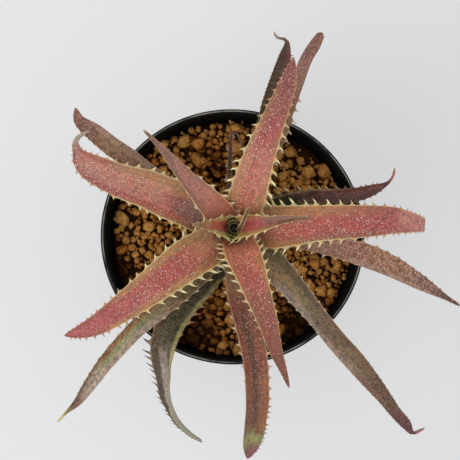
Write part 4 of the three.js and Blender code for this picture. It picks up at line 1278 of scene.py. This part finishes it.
class LeafShader(Shader):
    """Leaf skin: heart and flank colours that change along the blade, fine lengthwise streaks, pale scurf
    as dots or as a net, a pale margin, cream spines and a duller underside."""

    # Scurf scales to a metre, and meshes of the net to a metre.
    scurf_cells = 1650
    net_cells = 1350
    # How far a patch's soft edges reach outside and inside its ends, as shares of length, and to either
    # side of its limits across, as a share of the half width.
    soft_ends = (0.04, 0.06)
    soft_sides = 0.12

    def __init__(self, name, leaf, shift):
        super().__init__(name)
        self.leaf = leaf
        self.finish = FINISHES[leaf["kind"]]
        self.along = self.attribute("along")
        self.across = self.attribute("across")
        flat = self.add("ShaderNodeUVMap", {"uv_map": "blade"})
        flat = self.add("ShaderNodeMapping", None, {"Vector": flat, "Location": (shift, shift * 0.7, 0)})
        self.flat = flat
        self.streak = self.noise(self.stretched(flat, (1, 0.06, 1)), 1500, 4, 0.65, True)
        self.cloud = self.noise(flat, 130, 4, 0.6, True)
        self.grit = self.noise(flat, 2400, 3, 0.7, True)
        self.blotch = self.noise(flat, 480, 3, 0.65, True)
        self.drift = self.cloud + (self.blotch - 0.5) * 0.6
        self.spread = (self.cloud - 0.5) * 0.8 + (self.streak - 0.5) * 0.3
        centre, reach = leaf.get("stripe", (0, 0.7))
        self.off = abs(self.across - centre) / (reach * (0.85 + self.along * 0.5)) + self.spread
        self.flank = self.colours("flank")
        self.bent = self.vector("ADD", flat, self.wobble())
        self.cell = self.stretched(self.bent, (1, 0.8, 1))
        random = self.cells(self.cell, self.scurf_cells, output="Color")
        self.chance = self.part("Color", random, "Red")
        self.other = self.part("Color", random, "Green")
        self.plain = 1 - self.step(self.along, 0.78, 0.94)
        self.far = self.step(self.along, 0.4, 0.8)

    def colours(self, part):
        """The finish's colours of a part, from the base to the tip."""
        return self.ramp(self.along, [(place, tint(code)) for place, code in self.finish[part]])

    def choice(self, part):
        """The leaf's own colour of a part, or else its finish's."""
        return tint(self.leaf.get(part, self.finish[part]))

    def wobble(self):
        """A small random shift of a place on the blade."""
        random = self.noise(self.flat, 1100, 2, 0.6, True, "Color")
        return self.vector("SCALE", self.vector("SUBTRACT", random, (0.5, 0.5, 0.5)), Scale=1.2 * MM)

    def patch(self, start, end, low=-BEYOND, high=BEYOND):
        """A soft-edged area between limits along the blade and across it, all across if none are given:
        the product of four smooth steps, roughened by clouds and streaks."""
        along = self.along + self.spread * 0.15
        across = self.across + self.spread * 0.5
        outside, inside = self.soft_ends
        beyond = self.step(along, start - outside, start + inside)
        before = 1 - self.step(along, end - inside, end + outside)
        left = self.step(across, low - self.soft_sides, low + self.soft_sides)
        right = 1 - self.step(across, high - self.soft_sides, high + self.soft_sides)
        return beyond * before * left * right

    def ground(self):
        """Heart and flank by the distance from the heart's stripe, and the leaf's patches over them."""
        colour = self.blend(self.step(self.off, 0.55, 1.15), self.colours("heart"), self.flank)
        for accent, *where, strength in self.leaf.get("patches", ()):
            area = self.patch(*where) * (0.45 + self.blotch * 1.1)
            colour = self.blend(area * strength, colour, tint(ACCENTS[accent]))
        return colour

    def shaded(self, colour):
        """The colour made lighter, darker, redder or greener by streaks, clouds, grit, pits and scales."""
        pit = self.noise(self.stretched(self.flat, (1, 0.6, 1)), 1600, 2, 0.6, True)
        pit = self.step(pit, 0.56, 0.72)
        scales = self.plain * self.finish["scales"]
        shade = 0.72 + self.streak * 0.34 + (self.cloud - 0.5) * 0.4
        shade = shade + (self.grit - 0.5) * 1.1 + (self.blotch - 0.5) * 0.6
        shade = shade - pit * self.step(self.cloud, 0.35, 0.6) * (scales * 0.3 + 0.22)
        shade = shade + (self.other - 0.5) * scales * 0.5
        dim = self.step(self.chance, 0.5, 0.9) * scales * 0.3
        colour = self.blend(dim, colour, tint(ACCENTS["forest"]))
        colour = self.blend(pit * scales * 0.4, colour, tint(ACCENTS["bark"]))
        hue = (self.blotch - 0.5) * 0.28 + (self.other - 0.5) * 0.22
        lamp = {0: shade + hue, 1: shade, 2: shade - hue * 0.9}
        return self.blend(1.0, colour, self.add("ShaderNodeCombineColor", None, lamp), "MULTIPLY")

    def scurf(self):
        """How thick the scurf's dots and its veins lie, and how thick it lies in all."""
        near = self.cells(self.cell, self.scurf_cells) + (1 - self.chance) * 0.35
        near = near + self.step(self.off, 0.7, 1.3) * 0.1
        spot = (1 - self.step(near, 0.18, 0.42)) * self.step(self.drift, 0.1, 0.42)
        flake = self.step(self.noise(self.flat, 2900, 2, 0.6, True), 0.56, 0.68) * 0.25
        vein = self.noise(self.stretched(self.flat, (1, 0.45, 1)), 1300, 3, 0.6, True)
        vein = (1 - self.step(abs(vein - 0.5), 0.0, 0.055)) * self.step(self.drift, 0.25, 0.6)
        first, last = self.leaf.get("dots", self.finish["dots"])
        dots = first + self.step(self.along, 0.35, 0.85) * (last - first)
        whole = (spot + flake) * dots + vein * self.finish["veins"]
        if "net" in self.leaf:
            net = self.cells(self.stretched(self.bent, (1, 0.6, 1)), self.net_cells, "DISTANCE_TO_EDGE")
            net = (1 - self.step(net, 0.02, 0.25)) * self.step(self.blotch, 0.3, 0.6)
            whole = whole + net * self.plain * self.leaf["net"]
        return spot, vein, whole

    def underside(self, spot, vein):
        """The dull colour of the back, with clouds of the flank's colour and thin scurf in it."""
        dull = self.choice("under")
        back = self.blend(self.cloud, dull, self.flank)
        back = self.blend(vein * 0.5 + spot * 0.3, back, self.choice("scurf"))
        return self.blend(self.step(self.cloud, 0.2, 0.7) * 0.6, back, dull)

    def finished(self):
        """The whole pattern, from the upper skin to the margin, the underside and the spines."""
        spot, vein, scurf = self.scurf()
        colour = self.blend(scurf, self.shaded(self.ground()), self.choice("scurf"))
        edge = abs(self.across) + (self.grit - 0.5) * 0.03
        lip = self.step(edge, 0.925, 0.975) * (0.65 + 0.4 * self.streak) * (1 - self.far * 0.5)
        colour = self.blend(lip, colour, self.choice("margin"))
        under = self.attribute("under") * (1 - lip)
        colour = self.blend(under, colour, self.underside(spot, vein))
        point = self.blend(self.far, self.choice("claw"), self.choice("far_claw"))
        colour = self.blend(self.step(self.attribute("claw"), 0.2, 0.5), colour, point)
        ridge = self.noise(self.stretched(self.flat, (1, 0.03, 1)), 900, 2, 0.5, True)
        rough = 0.5 + self.grit * 0.12 + scurf * 0.15 - self.streak * 0.08
        height = ridge * 0.8 + self.streak * 0.25 + scurf * 0.25 + self.grit * 0.12
        return self.surface(
            colour, rough, height, 0.0005, Specular_IOR_Level=0.25, Subsurface_Weight=0.06,
            Subsurface_Radius=(0.004, 0.0015, 0.0008), Subsurface_Scale=0.35,
        )


class PLANT_OT_leaves(bpy.types.Operator):
    """Adds the nineteen leaves, each one closed skin with its scalloped margins and hooked spines"""

    bl_idname = "plant.leaves"
    bl_label = "Leaves"

    # How far a spine is moved at random as a share of the spacing, and the least and most that its length
    # is multiplied by.
    claw_shift = 0.2
    claw_spread = (0.85, 1.15)
    # How much thinner a spine's point is than the margin, and the power by which its lean grows.
    claw_thinning = 0.85
    claw_hook = 2.5
    # Share of length over which the spines of a bare side shrink, and how much they lose.
    bare_run = 0.12
    bare_loss = 0.85
    # Farthest apart that plain rows stand, and the nearest that two rows come, in millimetres.
    row_gap = 1.6
    least_gap = 0.05
    # Narrowest that a blade gets at its base and at its tip, in millimetres.
    narrowest = (1.2, 0.9)
    # Share of length where the tip's taper starts, the share it runs over, and how much it takes.
    tip_taper = (0.98, 0.02, 0.75)
    # Share of length that the base's cup reaches, the power by which a section rises from the midrib to
    # the margin, and how much thicker than its half width a blade may be, in millimetres.
    cup_reach = 0.45
    rise_power = 1.6
    spare = 0.4
    # Millimetres along for each radian of the slow waves, in the left half and in the right.
    wave_runs = (2.9, 3.4)

    def claw_places(self, leaf, length, random):
        """Where one margin has its spines: equal counts of a spacing that changes along the leaf, each
        moved a little, with a height for every spine."""
        first, last, pace, long, short = leaf["claws"]
        dense = np.linspace(first, last, 400)
        spacing = np.interp(dense, *zip(*CLAW_SPACING)) * pace / length
        counts = np.concatenate([[0], np.cumsum(np.diff(dense) / ((spacing[1:] + spacing[:-1]) / 2))])
        total = max(int(round(counts[-1])), 2)
        marks = np.linspace(0, counts[-1], total + 1)
        marks = marks + random.uniform(-self.claw_shift, self.claw_shift, total + 1)
        places = np.interp(marks, counts, dense)
        fade = np.clip(places / leaf.get("fade", 1), 0, 1) ** 1.5
        heights = (long + (short - long) * fade) * random.uniform(*self.claw_spread, total + 1)
        return places * length, heights

    def row_places(self, length, margins, count):
        """Where the rows lie along the blade: between two spines of either margin by the sine of even
        angles, so that they crowd at the spines, and even rows besides."""
        crowd = np.sin(np.linspace(-np.pi / 2, np.pi / 2, count))
        rows = [np.linspace(0, length, int(length / self.row_gap) + 4)]
        peaks = []
        for places, _ in margins:
            gaps = np.diff(places)
            ends = np.concatenate([[places[0] - gaps[0]], places, [places[-1] + gaps[-1]]])
            middle = (ends[1:] + ends[:-1]) / 2
            half = (ends[1:] - ends[:-1]) / 2
            rows.append((middle[:, None] + half[:, None] * crowd[1:-1]).ravel())
            peaks.append(places)
        peaks = np.sort(np.concatenate([*peaks, [0, length]]))
        rows = np.sort(np.concatenate(rows))
        near = np.abs(rows[:, None] - peaks[None, :]).min(axis=1)
        least = self.least_gap
        rows = rows[(near > least) & (rows > least) & (rows < length - least)]
        rows = rows[np.concatenate([[True], np.diff(rows) > least])]
        peaks = peaks[np.concatenate([[True], np.diff(peaks) > least])]
        return np.sort(np.concatenate([rows, peaks]))

    def margin_height(self, at, places, heights):
        """Height of the scalloped margin: between two spines it follows half a circle near the base and
        a flatter arch with steep ends towards the tip. Also the share of the spine's full height."""
        gaps = np.diff(places)
        stops = np.concatenate([[places[0] - gaps[0]], places, [places[-1] + gaps[-1]]])
        tall = np.concatenate([[0], heights, [0]])
        index = np.clip(np.searchsorted(stops, at, side="right") - 1, 0, len(stops) - 2)
        share = np.clip((at - stops[index]) / (stops[index + 1] - stops[index]), 0, 1)
        spot = np.abs(2 * share - 1)
        arch = 1 - (1 - spot ** (2.5 + 1.2 * at / at[-1])) ** 0.5
        height = np.where(share < 0.5, tall[index], tall[index + 1]) * arch
        return height, arch * (height > 0)

    def skin(self, leaf, sizes, random):
        """The blade as a closed skin: at each row the section rises from the midrib to the margins by the
        fold, the underside lies a thickness below, and the margin runs out into spines that lean back."""
        blade = Blade(leaf)
        margins = [self.claw_places(leaf, blade.length, random) for _ in range(2)]
        at = self.row_places(blade.length, margins, sizes.claw_rows)
        share = at / blade.length
        centre, tangent, across, up, width = blade.rows(at)
        start, run, loss = self.tip_taper
        taper = 1 - loss * np.clip((share - start) / run, 0, 1) ** 2
        first, last = self.narrowest
        half = np.maximum(width, first + (last - first) * share) / 2 * taper
        steps = np.array(BLADE_STEPS)
        v = np.concatenate([-steps[:0:-1], steps])
        cup = leaf.get("cup", 0) * np.clip(1 - share / self.cup_reach, 0, 1) ** 1.5
        fold = leaf["fold"] + cup
        rib = leaf["rib"]
        thick = np.minimum(rib[0] + (rib[1] - rib[0]) * share, self.spare + half) * taper
        edge = np.minimum(thick, sizes.margin / MM)
        depth = thick[:, None] + (edge - thick)[:, None] * v ** 2
        sway = random.uniform(0, 2 * np.pi, 2)
        left, right = (np.sin(at / span + turn)[:, None] for span, turn in zip(self.wave_runs, sway))
        wave = np.where(v > 0, left, right)
        wave = wave * v ** 2 * (sizes.waver / MM) * np.minimum(half / 4, 1)[:, None]
        rise = (fold * half)[:, None] * np.abs(v) ** self.rise_power + wave
        claw = np.zeros((len(at), len(v)))
        out = np.zeros((len(at), len(v), 3))
        lean = sizes.lean_base + (sizes.lean_tip - sizes.lean_base) * share
        left, right = leaf.get("sides", (1, 1))
        bare_side, bare_from = leaf.get("bare", (0, 0))
        rows = ((-1, 1, left, *margins[0]), (0, -1, right, *margins[1]))
        for column, sign, ratio, places, heights in rows:
            height, arch = self.margin_height(at, places, heights * ratio)
            if bare_side == sign:
                fading = np.clip((share - bare_from) / self.bare_run, 0, 1)
                height = height * (1 - self.bare_loss * fading)
            away = sign * across + up * fold[:, None]
            away /= np.linalg.norm(away, axis=1, keepdims=True)
            hook = (lean * height * arch ** self.claw_hook)[:, None]
            out[:, column] = away * height[:, None] - tangent * hook
            claw[:, column] = arch
        thin = 1 - self.claw_thinning * claw ** 0.7
        skins = []
        for under in (0, 1):
            lift = rise - under * depth * thin - (1 - thin) * depth * 0.5 * (1 - under)
            point = centre[:, None] + across[:, None] * (half[:, None] * v)[..., None]
            skins.append(point + up[:, None] * lift[..., None] + out)
        points = np.concatenate([skins[0], skins[1][:, ::-1]], axis=1)
        count = points.shape[1]
        ends = points[[0, -1]].mean(axis=1)
        faces = grid_faces(len(at), count)
        caps = [ring_cap(0, count, points.shape[0] * count, False)]
        caps.append(ring_cap((len(at) - 1) * count, count, points.shape[0] * count + 1, True))
        both = np.concatenate([v, v[::-1]])
        grid = np.ones((len(at), count))
        marks = {
            "along": np.append((grid * share[:, None]).ravel(), (0, 1)),
            "across": np.append((grid * both).ravel(), (0, 0)),
            "under": np.append((grid * np.repeat([0.0, 1.0], len(v))).ravel(), (0.5, 0.5)),
            "claw": np.append(np.concatenate([claw, claw[:, ::-1]], axis=1).ravel(), (0, 0)),
        }
        flat = np.stack([grid * both * half[:, None], grid * at[:, None]], -1).reshape(-1, 2)
        flat = np.concatenate([flat, [(0, 0), (0, at[-1])]]) * MM
        return np.concatenate([points.reshape(-1, 3), ends]) * MM, [faces, *caps], marks, flat

    def execute(self, context):
        sizes = context.scene.plant_leaf
        for number, (name, leaf) in enumerate(LEAVES.items()):
            random = np.random.default_rng(sizes.seed * 100 + number)
            points, faces, marks, flat = self.skin(leaf, sizes, random)
            mesh = make_mesh(name + "_skin", points, faces)
            mark(mesh, **marks)
            unwrap(mesh, "blade", flat)
            material = LeafShader(name, leaf, 0.37 * number).finished()
            add_piece(name + "_skin", mesh, material, name)
        return {"FINISHED"}


class PLANT_OT_stage(bpy.types.Operator):
    """Adds the camera above the plant, the pale table and the soft light from the lower left"""

    bl_idname = "plant.stage"
    bl_label = "Camera and Light"

    def lamp(self, name, place, aim, size, power, colour):
        light = bpy.data.lights.new(name, "AREA")
        light.shape = "SQUARE"
        light.size = size
        light.energy = power
        light.color = colour
        lamp = bpy.data.objects.new(name, light)
        lamp.location = place
        direction = Vector(aim) - Vector(place)
        lamp.rotation_euler = direction.to_track_quat("-Z", "Y").to_euler()
        bpy.context.scene.collection.objects.link(lamp)

    def table(self, stage):
        """A wide level sheet at the pot's foot, very slightly mottled, with painted shade that darkens its
        right side.
        """
        shader = Shader("table")
        place = shader.place()
        cloud = shader.noise(place, 6, 2, 0.5)
        aside = shader.part("XYZ", place, "X")
        # Painted shade: the right side of the table is a little darker, as if the light fell from the left.
        right = shader.step(aside + (cloud - 0.5) * 0.1, -0.05, 0.16)
        colour = shader.blend(right, tuple(stage.floor), tuple(0.94 * c for c in stage.floor))
        glow = shader.blend(1.0, colour, (0.95, 0.95, 0.96), "MULTIPLY")
        material = shader.surface(
            colour, 0.85, Specular_IOR_Level=0.1, Emission_Color=glow, Emission_Strength=stage.glow,
        )
        reach = 3.0
        corners = np.array([(-reach, -reach, 0), (reach, -reach, 0), (reach, reach, 0), (-reach, reach, 0)])
        mesh = make_mesh("table", corners, [np.array([(0, 1, 2, 3)])])
        mesh.materials.append(material)
        table = bpy.data.objects.new("table", mesh)
        bpy.context.scene.collection.objects.link(table)

    def execute(self, context):
        scene = context.scene
        stage = scene.plant_stage
        camera = bpy.data.cameras.new("camera")
        camera.lens = stage.lens
        camera.sensor_width = 36
        camera.clip_start = 0.01
        eye = bpy.data.objects.new("camera", camera)
        eye.location = stage.eye
        eye.rotation_euler = (stage.tilt, 0, 0)
        scene.collection.objects.link(eye)
        scene.camera = eye
        self.table(stage)
        self.lamp("key", (-0.8, -0.6, 1.15), (0, 0, 0.08), 0.9, stage.key, (1.0, 0.985, 0.96))
        world = bpy.data.worlds.new("sky")
        world.use_nodes = True
        backdrop = world.node_tree.nodes["Background"]
        backdrop.inputs["Color"].default_value = (0.97, 0.98, 1.0, 1)
        backdrop.inputs["Strength"].default_value = stage.fill
        scene.world = world
        scene.view_settings.view_transform = "Standard"
        scene.view_settings.look = "None"
        return {"FINISHED"}


class PLANT_PT_panel(bpy.types.Panel):
    """The plant's pieces and their sizes in the sidebar"""

    bl_idname = "PLANT_PT_panel"
    bl_label = "Potted Orthophytum"
    bl_space_type = "VIEW_3D"
    bl_region_type = "UI"
    bl_category = "Plant"

    def draw(self, context):
        for operator, group in PIECES.items():
            box = self.layout.box()
            box.operator(operator)
            if group:
                sizes = getattr(context.scene, group)
                for name in sizes.__annotations__:
                    box.prop(sizes, name)


GROUPS = {
    "plant_pot": PotSizes,
    "plant_soil": SoilSizes,
    "plant_leaf": LeafSizes,
    "plant_stage": StageSizes,
}
PIECES = {
    "plant.pot": "plant_pot",
    "plant.soil": "plant_soil",
    "plant.stem": None,
    "plant.leaves": "plant_leaf",
    "plant.stage": "plant_stage",
}
CLASSES = (
    *GROUPS.values(), PLANT_OT_pot, PLANT_OT_soil, PLANT_OT_stem, PLANT_OT_leaves, PLANT_OT_stage,
    PLANT_PT_panel,
)


def register():
    for kind in CLASSES:
        bpy.utils.register_class(kind)
    for name, group in GROUPS.items():
        setattr(bpy.types.Scene, name, PointerProperty(type=group))


def unregister():
    for name in GROUPS:
        delattr(bpy.types.Scene, name)
    for kind in reversed(CLASSES):
        bpy.utils.unregister_class(kind)


def main():
    register()
    for operator in PIECES:
        group, name = operator.split(".")
        getattr(getattr(bpy.ops, group), name)()


if __name__ == "__main__":
    main()
